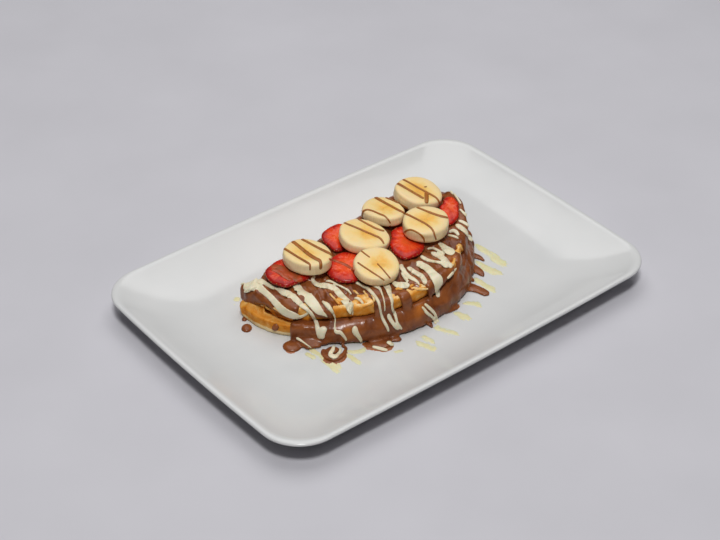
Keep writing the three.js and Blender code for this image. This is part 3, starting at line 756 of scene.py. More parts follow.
def white_look(name="white_chocolate_and_painted_highlight", pale=(0.80, 0.73, 0.54), deep=(0.72, 0.635, 0.42), over=None):
    """A film, which lies over a colour, reads "full": 0 at its edges."""
    k = Look(name, Subsurface_Weight=0.10, Subsurface_Scale=0.002, Specular_IOR_Level=0.35)
    colour = k.ramp(k.noise(110, 3, 0.5), (0.3, deep), (0.68, pale))
    if over:
        colour = k.mix(k.span(k.attribute("full"), 0.0, 0.55, 0.25, 1.0), over, colour)
    k.send(colour, "Base Color")
    k.rough(k.noise(240, 3), 0.30, 0.46)
    k.bump((k.noise(160, 2), 0.2, 0.4), (k.noise(900, 2), 0.08, 0.12))
    return k.material


def banana_look():
    k = Look("banana_flesh", Subsurface_Weight=0.15, Subsurface_Scale=0.005, Specular_IOR_Level=0.3)
    local, height, radius, angle = k.slice_place()
    cloud = k.noise(130, 3, 0.55)
    ragged = k.maths("ADD", radius, k.span(k.noise(70, 3, 0.55), 0.3, 0.7, -0.22, 0.22))
    face = k.ramp(
        ragged,
        (0.0, (0.86, 0.44, 0.075)),
        (0.22, (0.87, 0.50, 0.11)),
        (0.42, (0.88, 0.58, 0.19)),
        (0.62, (0.88, 0.64, 0.28)),
        (0.85, (0.87, 0.66, 0.33)),
        (1.0, (0.85, 0.65, 0.35)),
    )
    lobes = k.span(k.maths("COSINE", k.maths("MULTIPLY", angle, 3.0)), 0.1, 1.0)
    heart = k.maths("MULTIPLY", lobes, k.span(ragged, 0.46, 0.12))
    face = k.mix(k.maths("MULTIPLY", heart, 0.45), face, (0.70, 0.40, 0.09))
    ray = k.rays(angle, 7.0, radius, 3)
    face = k.mix(k.span(ray, 0.45, 0.75, 0.0, 0.25), face, (0.93, 0.72, 0.34))
    seeds = k.node("ShaderNodeTexVoronoi", {"Vector": local, "Scale": 9.0}).outputs["Distance"]
    belt = k.maths("MULTIPLY", k.span(radius, 0.34, 0.26), k.span(radius, 0.04, 0.10))
    dots = k.maths("MULTIPLY", k.span(seeds, 0.2, 0.08), belt)
    face = k.mix(k.maths("MULTIPLY", dots, k.maths("MULTIPLY", heart, 0.8)), face, (0.30, 0.13, 0.03))
    fibre = k.rays(angle, 16.0, height, 3)
    side = k.ramp(fibre, (0.3, (0.80, 0.60, 0.33)), (0.7, (0.88, 0.72, 0.44)))
    k.send(k.mix(k.span(height, 0.72, 0.99), side, face), "Base Color")
    k.rough(cloud, 0.34, 0.5)
    k.bump((cloud, 0.25, 0.4), (fibre, 0.12, 0.3), (k.noise(800, 2), 0.12, 0.12))
    return k.material


def strawberry_look():
    """Reads "red": 0 in the flesh, 1 on the skin."""
    soft = {"Subsurface_Weight": 0.08, "Subsurface_Scale": 0.003}
    wet = {"Coat_Weight": 0.10, "Coat_Roughness": 0.1, "Specular_IOR_Level": 0.22}
    k = Look("strawberry_flesh", **soft, **wet)
    _, _, radius, angle = k.slice_place()
    cloud = k.noise(170, 3, 0.55)
    ragged = k.maths("ADD", radius, k.span(cloud, 0.3, 0.7, -0.20, 0.20))
    face = k.ramp(
        ragged,
        (0.0, (0.76, 0.100, 0.020)),
        (0.25, (0.77, 0.074, 0.012)),
        (0.55, (0.72, 0.044, 0.006)),
        (0.80, (0.54, 0.016, 0.004)),
        (1.0, (0.31, 0.006, 0.005)),
    )
    ray = k.rays(angle, 9.0, radius, 4)
    pale = k.maths("MULTIPLY", k.span(ray, 0.48, 0.7, 0.0, 0.6), k.span(radius, 1.0, 0.7))
    face = k.mix(pale, face, (0.82, 0.20, 0.065))
    blotch = k.noise(95, 2, 0.5, warp=0.5)
    face = k.mix(k.span(blotch, 0.50, 0.68, 0.0, 0.6), face, (0.46, 0.014, 0.010))
    skin = k.ramp(cloud, (0.3, (0.24, 0.006, 0.010)), (0.7, (0.44, 0.014, 0.010)))
    k.send(k.mix(k.attribute("red"), face, skin), "Base Color")
    k.rough(cloud, 0.2, 0.36)
    k.bump((ray, 0.2, 0.4), (cloud, 0.25, 0.4), (k.noise(900, 2), 0.1, 0.12))
    return k.material


def plain_look(name, colour, rough, spot=0.1, scale=300):
    k = Look(name)
    low = tuple(c * (1 - spot) for c in colour)
    high = tuple(min(1, c * (1 + spot)) for c in colour)
    k.send(k.ramp(k.noise(scale, 3), (0.3, low), (0.7, high)), "Base Color")
    k.rough(k.noise(scale * 0.7, 2), rough * 0.85, rough * 1.15)
    return k.material


# ---- plate ------------------------------------------------------------------

LONG, WIDE = 330, 227
BOW = 1.5  # how far each side bows out in its middle
CORNER = 30  # radius
ARC, ALONG_X, ALONG_Y = 14, 30, 20  # spans round a corner and along the sides
FLOOR = 5.0  # height of the well's floor


def plate_ring(inset, z):
    """The outline, drawn in by that much, at a height."""
    radius = CORNER - 0.25 * inset
    half = np.array([LONG / 2, WIDE / 2]) - BOW - inset
    ring = []
    for c, (sx, sy) in enumerate([(1, 1), (-1, 1), (-1, -1), (1, -1)]):
        mid_x, mid_y = sx * (half[0] - radius), sy * (half[1] - radius)
        for i in range(ARC + 1):
            a = math.radians(90 * c + 90 * i / ARC)
            ring.append([mid_x + radius * math.cos(a), mid_y + radius * math.sin(a), z])
        long_side = c % 2 == 0
        run = half[0 if long_side else 1] - radius
        spans = ALONG_X if long_side else ALONG_Y
        for i in range(1, spans):
            t = 1 - 2 * i / spans
            out = BOW * (1 - t * t)
            if long_side:
                ring.append([sx * run * t, sy * (half[1] + out), z])
            else:
                ring.append([sx * (half[0] + out), sy * run * t, z])
    return np.array(ring)


def plate():
    # (how far in from the outline, height)
    under = smooth_path([(50, 1.4), (40, 1.75), (30, 2.0), (26.6, 1.6)], 3)
    foot = smooth_path([(26.6, 1.6), (25.2, 0.7), (24.2, 0.1), (22.2, 0), (20.3, 0.1), (18.9, 0.8)], 3)
    lip = [(1.4, 16.2), (0.3, 16.8), (0, 17.6), (0.35, 18.4), (1.1, 18.85), (2.3, 19), (3.4, 18.85)]
    wall = smooth_path([(18.9, 0.8), (15.5, 3.5), (12, 6.5), (7.5, 11.0), (3.6, 15.0), *lip, (4.6, 18.35)], 4)
    insets = [4.6, 5.5, 6.5, 7.7, 9, 10.5, 12, 13.5, 15, 16.7, 18.5, 20.2, 22, 24, 26, 28, 30]
    insets += [32.2, 34.5, 36.7, 39, 41.5, 44, 47, 50]
    well = [(inset, FLOOR + 13.5 * (1 - (inset - 4.4) / 45.6) ** 2) for inset in insets]
    profile = np.vstack([under[:-1], foot[:-1], wall[:-1], well])
    profile[:, 1] = np.maximum(profile[:, 1], 0)
    rings = [plate_ring(inset, z) for inset, z in profile]
    inner, outer = rings[-1], rings[0]
    rings = [outer * [f, f, 1] for f in (0.25, 0.5, 0.75)] + rings
    rings += [inner * [f, f, 1] for f in (0.8, 0.6, 0.4, 0.2, 0.08)]
    points = np.vstack(rings + [[[0, 0, 1.4]], [[0, 0, FLOOR]]])
    return mesh_of("plate_body", points, closed(len(rings), len(rings[0])))


plate_mesh = plate()
add("plate_body", plate_mesh, glaze_look(), ["plate"])


# ---- waffle -----------------------------------------------------------------

BASE, THICK = 5.4, 9.25  # height of the underside, thickness of each half
LOWER, UPPER = 97.0, 92.0  # radii of the halves' rims
CENTRE = 2.0  # how far the rims' centre lies behind the fold's line
TURN = math.radians(7.5)
FOLD_Y = 45.0
PITCH, POCKET, DEPTH = 13, 4.6, 2.7  # the grid, a pocket's half width and depth
WAFFLE_SKIN, CHOCOLATE_SKIN, WHITE_SKIN, RIDGE_SKIN = 0.96, 0.88, 0.4, 0.5  # mesh sizes


def place(u, v, z):
    """Along the fold u, across it v, height z, to the row's x, y, z."""
    u, v, z = np.broadcast_arrays(np.asarray(u, float), np.asarray(v, float), np.asarray(z, float))
    x = u * math.cos(TURN) - v * math.sin(TURN)
    y = FOLD_Y + u * math.sin(TURN) + v * math.cos(TURN)
    return np.stack([x, y, z], axis=-1)


def along(p):
    """The other way: x, y, z to u, v, z."""
    x, y = p[:, 0], p[:, 1] - FOLD_Y
    c, s = math.cos(TURN), math.sin(TURN)
    return np.column_stack([x * c + y * s, -x * s + y * c, p[:, 2]])


def columns(x, y, z):
    """Points (n, 3) of three arrays; any may be one number."""
    return np.column_stack([a.ravel() for a in np.broadcast_arrays(x, y, z)])


def gap_at(u):
    """Height of the space between the halves."""
    room = np.clip((LOWER - np.abs(u)) / 38, 0, 1)
    return np.maximum(1.2, 7 * room**0.7)


def top_at(u):
    return BASE + 2 * THICK + gap_at(u)


def full_at(u):
    """How far back the fold reaches, as a part of its full reach."""
    return np.sqrt(np.maximum(0.12, 1 - (np.abs(u) / LOWER) ** 10))


def around(r, a, z):
    """At a radius and an angle (degrees) about the rims' centre."""
    a = np.radians(a)
    return place(r * np.cos(a), CENTRE + r * np.sin(a), z)


def polar(p):
    """Radius and angle (degrees) about the rims' centre."""
    w = along(p)
    x, y = w[:, 0], w[:, 1] - CENTRE
    return np.hypot(x, y), np.degrees(np.arctan2(y, x)) % 360


SLACK_IN, SLACK_DOWN = 3.0, 0.8  # how far in and down the fold's back is drawn


def slack_at(u, v, z):
    """Where the fold's back is drawn in, from 0 to 1."""
    return step(-6, 10, v) * step(-92, -80, u) * step(88, 74, u) * step(8, 20, z)


def blend(base, other, share):
    return base * (1 - share) + share * other


def waffle():
    me = remeshed(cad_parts["waffle"].data.copy(), WAFFLE_SKIN, 3)
    co, no = coords(me), normals(me)
    w = along(co)
    u, v = w[:, 0], w[:, 1]
    r, a = polar(co)
    front = v < 3
    # pockets that the grid has near the upper rim
    du = np.abs(u - PITCH * np.round(u / PITCH))
    dv = np.abs((v / PITCH) % 1 - 0.5) * PITCH
    inside = np.minimum.reduce([POCKET - du, POCKET - dv, UPPER - 3.4 - r, r - 74])
    on_top = (co[:, 2] > top_at(u) - 1.0) * (no[:, 2] > 0.5)
    hole = step(0.0, 1.3, inside) * on_top * (v < -6) * (np.abs(u) < 74)
    co[:, 2] -= DEPTH * hole
    # the mouth of the fold gapes at the left tip
    tip = step(178, 185, a) * step(197, 190, a) * step(76, 86, r) * front
    under = BASE + THICK + gap_at(u)
    rise = step(under + 6.5, under - 0.5, co[:, 2]) * (co[:, 2] > under - 1.0)
    co[:, 2] += 3.4 * tip * rise
    # beyond the tip the halves lie close together
    shut = step(191, 195.5, a) * step(216, 209, a) * step(70, 84, r) * front
    sag = step(under + 6.0, under + 1.0, co[:, 2]) * (co[:, 2] > under - 1.0)
    co[:, 2] -= (gap_at(u) - 0.3) * shut * sag
    # the lower rim is drawn in at the right end, the upper one at the left tip
    drawn = around(r - 1, a, co[:, 2]) - around(r, a, co[:, 2])
    inward = 3.0 * step(286, 302, a) * step(80, 95, r) * front
    left = step(160, 172, a) * step(194, 184, a) * step(76, 92, r)
    co += drawn * (inward + 5.2 * left * step(13.6, 17.0, co[:, 2]))[:, None]
    # the fold's back is flatter than the solid's
    slack = slack_at(u, v, co[:, 2])
    co -= (place(0, SLACK_IN, 0) - place(0, 0, 0)) * slack[:, None]
    co[:, 2] -= SLACK_DOWN * slack * step(18, 26, co[:, 2])
    # an uneven rim and a crumpled skin
    layer = step(14.4, 16.2, co[:, 2])
    rim = step(74, 88, r) * (v < 2)
    out = around(r + 1.0, a, co[:, 2]) - around(r, a, co[:, 2])
    flat = columns(u, v, 40 * layer)
    wave = noise(flat, 13) * 0.8 + noise(flat, 5.5, 3.1) * 0.35
    co = co + out * (wave * rim)[:, None]
    co += no * (0.30 * noise(co, 4.2, 7.7) + 0.16 * noise(co, 1.9, 1.3))[:, None]
    put(me, co)
    # how brown: pale low edge, orange walls, golden rims, pockets darker
    up = normals(me)[:, 2]
    tall, level = co[:, 2], np.abs(up)
    bake = 0.44 + 0.10 * noise(co, 16, 2.2)
    wall = 0.50 + 0.16 * noise(co, 7, 5.5) + 0.12 * noise(co, 2.8, 9.5) + 0.16 * step(11.5, 14.5, tall)
    bake = blend(bake, wall, rim * (1 - layer) * (1 - step(0.5, 0.85, level)))
    bake = blend(bake, 0.0, (1 - layer) * rim * (1 - step(8.0, 9.2, tall + 0.5 * noise(co, 3, 1.1))))
    wall = 0.46 + 0.16 * noise(co, 7, 4.4) + 0.12 * noise(co, 2.6, 9.4)
    wall = wall + 0.30 * step(under + 4.5, under + 0.5, tall)
    bake = blend(bake, wall, rim * layer * (1 - step(0.4, 0.8, level)) * (v < 0))
    lip = 0.20 + 0.16 * noise(co, 6, 6.1) + 0.12 * noise(co, 2.4, 2.8)
    bake = blend(bake, lip, rim * layer * step(0.55, 0.9, up))
    mark(me, "bake", np.clip(bake + 0.48 * hole, 0, 1))
    return me


waffle_mesh = waffle()
add("waffle_body", waffle_mesh, waffle_look(), ["waffle"])
waffle_tree = tree_of(waffle_mesh)


# ---- fruit sizes --------------------------------------------------------------

# x, y, z of the underside's middle, thickness, lean, towards, and the outline:
# radii at equal angles
BANANA = [
    [-47, 22, 37.2, 9, 3, 20,
     [15.7, 16, 16.9, 18, 18.2, 17.4, 17, 16.4, 15.9, 16, 16.7, 17.7, 18.3, 18, 16.9, 16]],
    [-0.8, 18.2, 36.5, 7.3, 8, -42,
     [17.1, 17, 17.6, 18.4, 18.4, 18.3, 17.6, 17.4, 17.9, 17.8, 17, 16.8, 17.4, 18.8, 18.4, 17.6]],
    [-14.7, -12.5, 35.6, 7, 10, -75,
     [16.5, 17.6, 17.4, 16.5, 16.1, 15.7, 15.9, 16.4, 17.1, 17.6, 17.4, 16.8, 16.4, 16.1, 16, 16]],
    [30.5, 33.7, 35.8, 7.5, 6, 40,
     [13.9, 14.6, 16.6, 17.6, 16.8, 15.7, 15.5, 15.6, 15.1, 14.9, 15.7, 17.1, 17.7, 16.5, 15.2, 14.1]],
    [41.4, 0.6, 37.8, 9, 3, -60,
     [17.9, 17.7, 17, 16.7, 16.7, 16.4, 16.2, 16.7, 17.7, 17.6, 17.3, 17, 16.5, 16.2, 16.2, 16.8]],
    [62.1, 34.4, 36.4, 9, 11, -42,
     [17.9, 18.4, 18.3, 17.4, 16.8, 16.7, 17.3, 17.3, 17.1, 16.9, 17.1, 16.9, 17.4, 18, 17.8, 17.5]],
]
STRAWBERRY = [
    [-62, 23.8, 32.1, 4.3, 2, -120,
     [15.1, 14.9, 15.3, 15.1, 14.5, 14.6, 15.8, 16.1, 15.8, 15.3, 15.8, 13.8, 13.5, 15.2, 17, 16.1]],
    [-10.8, 34.3, 33.2, 3.8, 7, -100,
     [11.3, 14, 14.8, 12.3, 11.3, 11.2, 11.5, 11.4, 11.2, 12, 14.5, 13.9, 12, 10.8, 10.5, 10.6]],
    [-27.9, 3.3, 31.9, 4.4, 2, -130,
     [14.2, 16.4, 17, 16.2, 14.6, 13.2, 13, 14.1, 14.9, 15.5, 16.2, 16.4, 15.2, 14.1, 13.1, 12.9]],
    [23.4, 0.4, 31.8, 4.4, 2, -100,
     [13.3, 15, 17.8, 18.4, 15.6, 11.6, 10.8, 12, 13.3, 15.9, 19.1, 17.1, 16, 14.3, 13.3, 12.7]],
    [74, 11.2, 33, 4.2, 6, -110,
     [8.8, 10.4, 13.8, 11.8, 7.8, 7.2, 7.8, 7.7, 9.4, 12.7, 17.7, 14, 10.0, 7.4, 6.8, 6.8]],
]


def radius_at(radii, angle):
    """The outline's radius at angles in radians, smooth through the given ones."""
    n = len(radii)
    t = (np.asarray(angle) / (2 * math.pi) * n) % n
    i = np.floor(t).astype(int)
    r = np.asarray(radii, float)
    return catmull(*(r[(i + k) % n] for k in (-1, 0, 1, 2)), t - i)


def facing(lean, towards):
    t, a = math.radians(lean), math.radians(towards)
    return np.array([math.sin(t) * math.cos(a), math.sin(t) * math.sin(a), math.cos(t)])


def laid(points, piece):
    """Local points of a slice set down where the slice lies."""
    n = facing(piece[4], piece[5])
    turn = np.array(Vector((0, 0, 1)).rotation_difference(Vector(n)).to_matrix())
    return np.asarray(points) @ turn.T + np.array(piece[:3])


# ---- chocolate ----------------------------------------------------------------

# where the rim shows bare: from and to (degrees round the rims' centre), and
# how far in from the rim on top
BARE = [
    (206.2, 212.2, 6.0),
    (221.6, 240.4, 13.0),
    (246.4, 251.8, 8.0),
    (255.2, 265.6, 8.5),
    (283.0, 289.6, 6.5),
    (294.0, 302.6, 6.5),
]
# the height at which the coat ends on the upper wall, at angles; where the two
# runs are one, the height is 0
ENDS = np.array([
    (176, 13), (179, 12.6), (182, 13.4), (185, 15.4), (187.5, 18.0), (189.5, 21.0), (191.5, 22.5),
    (194, 22.0), (197, 20.4),
    (200, 19), (203, 18.4), (206, 18.6), (210, 21.2), (216, 22.0), (222, 22.0), (238, 22.0),
    (240, 21), (240.5, 0), (254, 0),
    (255, 21.4), (262, 21.8), (266, 22), (270.5, 22.6), (273, 24.2), (277, 26.0), (281, 27.2),
    (285, 28.4), (288, 27.6),
    (290, 0), (293, 0), (295, 24.5), (299, 22), (303, 0), (309, 0), (311, 23), (316, 20.5),
    (319, 0), (324, 0), (326, 22.5),
    (331, 19), (334, 0), (360, 0),
])


def bare_top(r, a):
    """1 where the top is bare at a radius and angle, 0 where it is coated."""
    total = np.zeros(np.shape(r))
    for low, high, reach in BARE:
        inside = np.minimum(a - low, high - a) * 1.6  # mm along the rim
        deep = reach * np.clip(0.45 + inside / 9, 0, 1)
        total = np.maximum(total, step(-0.8, 0.8, r - (UPPER - deep)) * step(-0.6, 1.2, inside))
    return total


def blur(z, valid, rounds):
    """Heights evened out over the cells that are valid."""
    z = np.where(valid, z, 0)
    w = valid.astype(float)
    for _ in range(rounds):
        for axis in (0, 1):
            z = z + np.roll(z, 1, axis) + np.roll(z, -1, axis)
            w = w + np.roll(w, 1, axis) + np.roll(w, -1, axis)
        z, w = z / np.maximum(w, 1e-9), np.minimum(w, 1)
    return z


def heaped(x, y, z):
    """The coat's top, raised to the undersides of the slices it carries."""
    for cx, cy, cz, _, lean, towards, radii in BANANA:
        n = facing(lean, towards)
        dx, dy = x - cx, y - cy
        d = np.hypot(dx, dy)
        radius = radius_at(radii, np.arctan2(dy, dx))
        under = cz - (n[0] * dx + n[1] * dy) / n[2] + 0.2
        back = (dx * AHEAD[0] + dy * AHEAD[1]) / np.maximum(d, 1) / math.hypot(AHEAD[0], AHEAD[1])
        reach = radius * (0.68 + 0.05 * np.clip(back, -0.6, 1))
        z = np.maximum(z, under - np.maximum(d - reach, 0) * 1.7)
    return z


def coat(parts):
    """The coat over the top of the waffle, level over its pockets."""
    u, v = np.meshgrid(np.arange(-96.0, 96.5, 1.0), np.arange(-92.0, 12.5, 1.0), indexing="ij")
    z = np.full(u.size, -1.0)
    for i, q in enumerate(place(u, v, 60.0).reshape(-1, 3)):
        found = waffle_tree.ray_cast(Vector(q), Vector((0, 0, -1)))[0]
        if found is not None:
            z[i] = found[2]
    z = z.reshape(u.shape)
    r = np.hypot(u, v - CENTRE)
    a = np.degrees(np.arctan2(v - CENTRE, u)) % 360
    back_edge = (THICK + gap_at(u) / 2) * full_at(u) * (0.34 + 0.12 * np.sin(u * 0.13))
    limit = 92.4 - 2.6 * step(196, 184, a)
    behind = np.minimum(back_edge - v, 90.4 + 0.02 * u - np.abs(u))
    inside = np.where(v < CENTRE, limit - r, behind)
    valid = (z > top_at(u) - 6) & (inside > 0)
    level = blur(z, valid, 3)
    flat = columns(u, v, 0.0)
    lumps = (0.35 * noise(flat, 11, 2.0) + 0.22 * noise(flat, 4.5, 5.0)).reshape(u.shape)
    body = np.sqrt(1 - (1 - np.clip(inside / 2.6, 0, 1)) ** 2)
    bare = np.where(v < CENTRE, bare_top(r, a), 0)
    top = np.maximum(level + 1.15 + lumps, z + 0.5 + 0.4 * lumps)
    top = level + (blur(top, valid, 1) - level) * body
    pocket = top_at(u) - z > 1.4
    top = top * (1 - bare) + np.where(pocket, top_at(u) - 2.1, np.minimum(z, level) - 1.2) * bare
    xyz = place(u, v, top)
    top = np.where(bare < 0.5, heaped(xyz[..., 0], xyz[..., 1], top), top)
    under = np.minimum(level - 2.2, top - 1.0)
    n = int(valid.sum())
    number = -np.ones(u.shape, int)
    number[valid] = np.arange(n)
    quads, rim = [], {}
    for i in range(u.shape[0] - 1):
        for j in range(u.shape[1] - 1):
            q = [number[i, j], number[i + 1, j], number[i + 1, j + 1], number[i, j + 1]]
            if min(q) < 0:
                continue
            quads.append(q)
            for one, two in zip(q, q[1:] + q[:1]):
                if (two, one) in rim:
                    del rim[(two, one)]
                else:
                    rim[(one, two)] = True
    faces = quads + [[n + q for q in reversed(f)] for f in quads]
    faces += [[two, one, n + one, n + two] for one, two in rim]
    parts.take(np.vstack([place(u, v, top)[valid], place(u, v, under)[valid]]), faces)


def in_bare(a):
    """Whether an angle is in one of the bare windows."""
    return any(low < a < high for low, high, _ in BARE)


def run(parts, angle, path, wide, thick=1.55, sway=0.55):
    """One run of chocolate down the front, along (radius, height) points."""
    line = evenly(smooth_path(path, 5), 1.1)
    r, z = line[:, 0], line[:, 1]
    a = angle + sway * noise(columns(r, z, angle * 2), 9, 1.7)
    d = unit(np.gradient(line, axis=0))
    points = around(r, a, z)
    ups = around(r - d[:, 1], a, z + d[:, 0]) - points
    tube(parts, points, ups, wide, thick, 8, 0.6)


SHELF = BASE + THICK  # height of the lower half's top
# single drips over bare wall: angle, half width, height of the end
DRIPS = [(240.6, 1.5, 12.0), (253.0, 2.0, 12.0), (266.2, 1.4, 12.0), (229.2, 0.9, 25.0), (246.6, 1.3, 12.0)]


def rim_top(angle):
    """Height of the upper rim's top at an angle."""
    return float(top_at(UPPER * math.cos(math.radians(angle))))


def runs(parts):
    """Chocolate down the front, as many close runs that melt into one skin."""
    luck = np.random.RandomState(5)
    angle = 177.0
    while angle < 359.5:
        a = angle + luck.uniform(-0.2, 0.2)
        right = float(step(284, 300, a))
        wide = 2.5 + luck.uniform(-0.2, 0.3) - 0.5 * right
        proud = 0.35 * math.sin(a * 0.9) + 0.3 * math.sin(a * 0.37 + 1.0) + luck.uniform(-0.12, 0.12)
        proud += right * (
            1.3 * math.sin(a * 1.15) + 0.7 * math.sin(a * 2.3 + 1) + luck.uniform(-0.5, 0.4)
        )
        bare = in_bare(a)
        zt = rim_top(a)
        under = zt - THICK
        one = ENDS[int(np.argmin(np.abs(ENDS[:, 0] - a))), 1] == 0
        end = float(np.interp(a, ENDS[:, 0], ENDS[:, 1])) + luck.uniform(-0.35, 0.35)
        bulge = 9.5 * math.exp(-(((a - 213.2) / 5.0) ** 2))
        foot = 0.4 * math.sin(a * 1.9) + luck.uniform(-0.3, 0.4) + bulge
        out = proud - 2.9 * right
        down = [
            (97.6 + out * 0.7, SHELF + 0.6),
            (98.2 + out * 0.8, SHELF - 2.4),
            (98.3 + out * 0.8, 9.4),
            (98.1 + out * 0.7 + 0.4 * foot, 7.4),
            (97.6 + out * 0.6 + foot, 6.0),
        ]
        lean_in = 4.0 * float(step(194, 184, a)) + 2.4 * right
        over = [
            (86.5, zt + 0.7),
            (90.3 - lean_in, zt + 0.4),
            (92.4 - lean_in, zt - 1.0),
            (93.0 - lean_in + 0.4 * proud, zt - 3.4),
        ]
        if one and not bare:
            middle = [
                (93.2 - lean_in + 0.5 * proud, zt - 8.0),
                (94.6 - lean_in, SHELF + 4.6),
                (96.4 - lean_in, SHELF + 2.4),
            ]
            run(parts, a, over + middle + down, wide)
        elif not bare:
            stop = min(end, zt - 1.2)
            low = [p for p in over if p[1] > stop + 1.6]
            if len(low) > 1:
                run(parts, a, low + [(93.1 - lean_in + 0.4 * proud, stop + 0.9)], wide, 1.35)
        if a > 205.3 and (bare or not one):
            high = under - 1.3
            if 270 < a < 289:
                high = max(high, end - 2.6)
                start = [(89.0, high - 0.6), (91.2, high), (92.6, high - 1.6)]
                start += [(94.2, 0.5 * (high + SHELF) + 1.2)]
            else:
                start = [(85.5 - lean_in, high - 0.9), (90.6 - lean_in, high)]
                start += [(94.0 - lean_in, high - 1.1), (96.4 - lean_in, SHELF + 2.2)]
            run(parts, a, start + down, wide)
        angle += 1.15
    for at, wide, end in DRIPS:
        zt = rim_top(at)
        path = [(84.0, zt + 0.4), (90.3, zt + 0.3), (92.6, zt - 1.0), (93.2, zt - 4.0)]
        if end < 20:
            path += [(93.6, zt - 8.0), (95.0, SHELF + 4.6), (97.4, SHELF + 1.4)]
            path += [(98.6, SHELF - 2.5), (98.8, end)]
        else:
            path += [(93.2, end)]
        run(parts, at, path, wide, 1.0, 0.8)


def back_runs(parts):
    """Chocolate that ran a little way down the rounded back of the fold."""
    luck = np.random.RandomState(9)
    u = -80.0
    while u < 88:
        gap, full = float(gap_at(u)), float(full_at(u))
        outer = THICK + gap / 2
        mid = BASE + outer
        end = 72 - 10 * math.sin(u * 0.21) - luck.uniform(0, 8)
        long_run = luck.rand() < 0.13
        if long_run:
            end -= luck.uniform(25, 75)
        path = [(-5.0, mid + outer + 0.2), (-2.0, mid + outer + 0.1)]
        for t in np.radians(np.linspace(90, end, 14)):
            path.append(((outer + 0.1) * full * math.cos(t), mid + (outer + 0.1) * math.sin(t)))
        line = evenly(smooth_path(path, 3), 1.1)
        slack = slack_at(u, line[:, 0], line[:, 1])
        line[:, 0] -= SLACK_IN * slack
        line[:, 1] -= SLACK_DOWN * slack * step(18, 26, line[:, 1])
        v, z = line[:, 0], line[:, 1]
        d = unit(np.gradient(line, axis=0))
        points = place(u, v, z)
        ups = place(u, v - d[:, 1], z + d[:, 0]) - points
        tube(parts, points, ups, 2.3 if long_run else 2.9, 1.1, 8, 0.8)
        u += 2.6 if long_run else 2.1


def ropes(parts):
    """Sauce heaped along the rim, as (angle, radius, height, half width) rows."""
    for rows in ROPES:
        line = evenly(smooth_path(rows, 6), 1.0)
        a, r, z, half = line.T
        wave = 0.5 * noise(columns(a, r, z), 4, 6.0)
        points = around(r + wave, a, z + 0.5 * wave)
        tube(parts, points, np.tile([0.0, 0, 1], (len(points), 1)), half, half, 10)


chocolate_parts = Parts()
coat(chocolate_parts)
runs(chocolate_parts)
back_runs(chocolate_parts)
ropes(chocolate_parts)
bare_waffle = tree_of(waffle_mesh)
paint_all(chocolate_parts, bare_waffle, TIP_BAND, 1.0, 0.6, 0.8, 10, jump=16)
ground = tree_of(plate_mesh)
carried = tree_of(plate_mesh, waffle_mesh)
draped = tree_of(chocolate_parts.mesh("draped"), waffle_mesh)


def coated(p):
    """Whether a point lies on the coat of the top, away from the bare rim."""
    r, a = polar(p[None])
    w = along(p[None])[0]
    if p[2] < top_at(w[0]) - 3:
        return False
    return not (w[1] < CENTRE and bare_top(r + 2.0, a)[0] > 0.2)


# ribbons in which the coat was poured, one over another
RIBBONS = 56
pour = np.random.RandomState(21)
for i in range(RIBBONS):
    t = (i + pour.uniform(-0.3, 0.3)) / (RIBBONS - 1)
    x, y = 246 + 200 * t, 282 - 98 * t
    bend = pour.uniform(-4, 4)
    line = [(x, y), (x + 12 + bend, y + 13), (x + 25 + bend, y + 30 + bend), (x + 33, y + 52)]
    line += [(x + 38, y + 72)]
    w = pour.uniform(1.8, 3.8)
    stroke = [(px, py, w * pour.uniform(0.8, 1.2)) for px, py in line]
    paint(chocolate_parts, draped, stroke, pour.uniform(0.9, 1.7), 0.4, 1.0, 8, keep=coated)
paint_all(chocolate_parts, ground, FINGERS, 2.2, 0.15, 0.8, 10, grow=1.05)
paint_all(chocolate_parts, draped, RIDGES, 1.5, 0.5, 0.8, 10)
# drops: x, y, width and depth in the frame, height in mm
puddle(chocolate_parts, ground, 246.7, 328.6, 11.5, 8.2, 2.3)
puddle(chocolate_parts, ground, 292.2, 346.6, 20, 11.5, 2.4)
puddle(chocolate_parts, carried, 244.6, 319.4, 6.5, 5, 1.6)
puddle(chocolate_parts, carried, 275.6, 327.2, 7.5, 6.5, 1.6)

# where the chocolate is thin: x, y and reach both ways in the frame
THIN = [
    (347.5, 331, 3.4, 6.5),
    (419.5, 311, 4.2, 8.5),
    (348, 337.5, 5, 3),
    (338, 296, 6, 6),
    (452.5, 263, 3.5, 7),
]


def chocolate():
    me = remeshed(chocolate_parts.mesh("chocolate"), CHOCOLATE_SKIN, 2)
    co = coords(me)
    co += normals(me) * (0.10 * noise(co, 5, 3.3))[:, None]
    put(me, co)
    x, y = on_frame(co)
    r, _ = polar(co)
    thin = np.zeros(len(co))
    for cx, cy, rx, ry in THIN:
        spot = np.exp(-(((x - cx) / rx) ** 2) - ((y - cy) / ry) ** 2)
        thin = np.maximum(thin, spot * (0.65 + 0.5 * noise(co, 3.0, 4.0)))
    mark(me, "thin", np.clip(thin * step(78, 86, r), 0, 1))
    return me


chocolate_mesh = chocolate()
add("chocolate_sauce", chocolate_mesh, chocolate_look(), ["chocolate_filling"])


# ---- fruit --------------------------------------------------------------------


def slice_mesh(name, piece, rings, local, n, low=0.0):
    """A slice from its rings of n points, laid down where it lies."""
    points = np.vstack([rings, [[0, 0, low]], [[0, 0, rings[-n:, 2].mean()]]])
    me = mesh_of(name, laid(points, piece), closed(len(rings) // n, n))
    mark(me, "local", np.vstack([local, [[0, 0, 0], [0, 0, 1]]]))
    return me


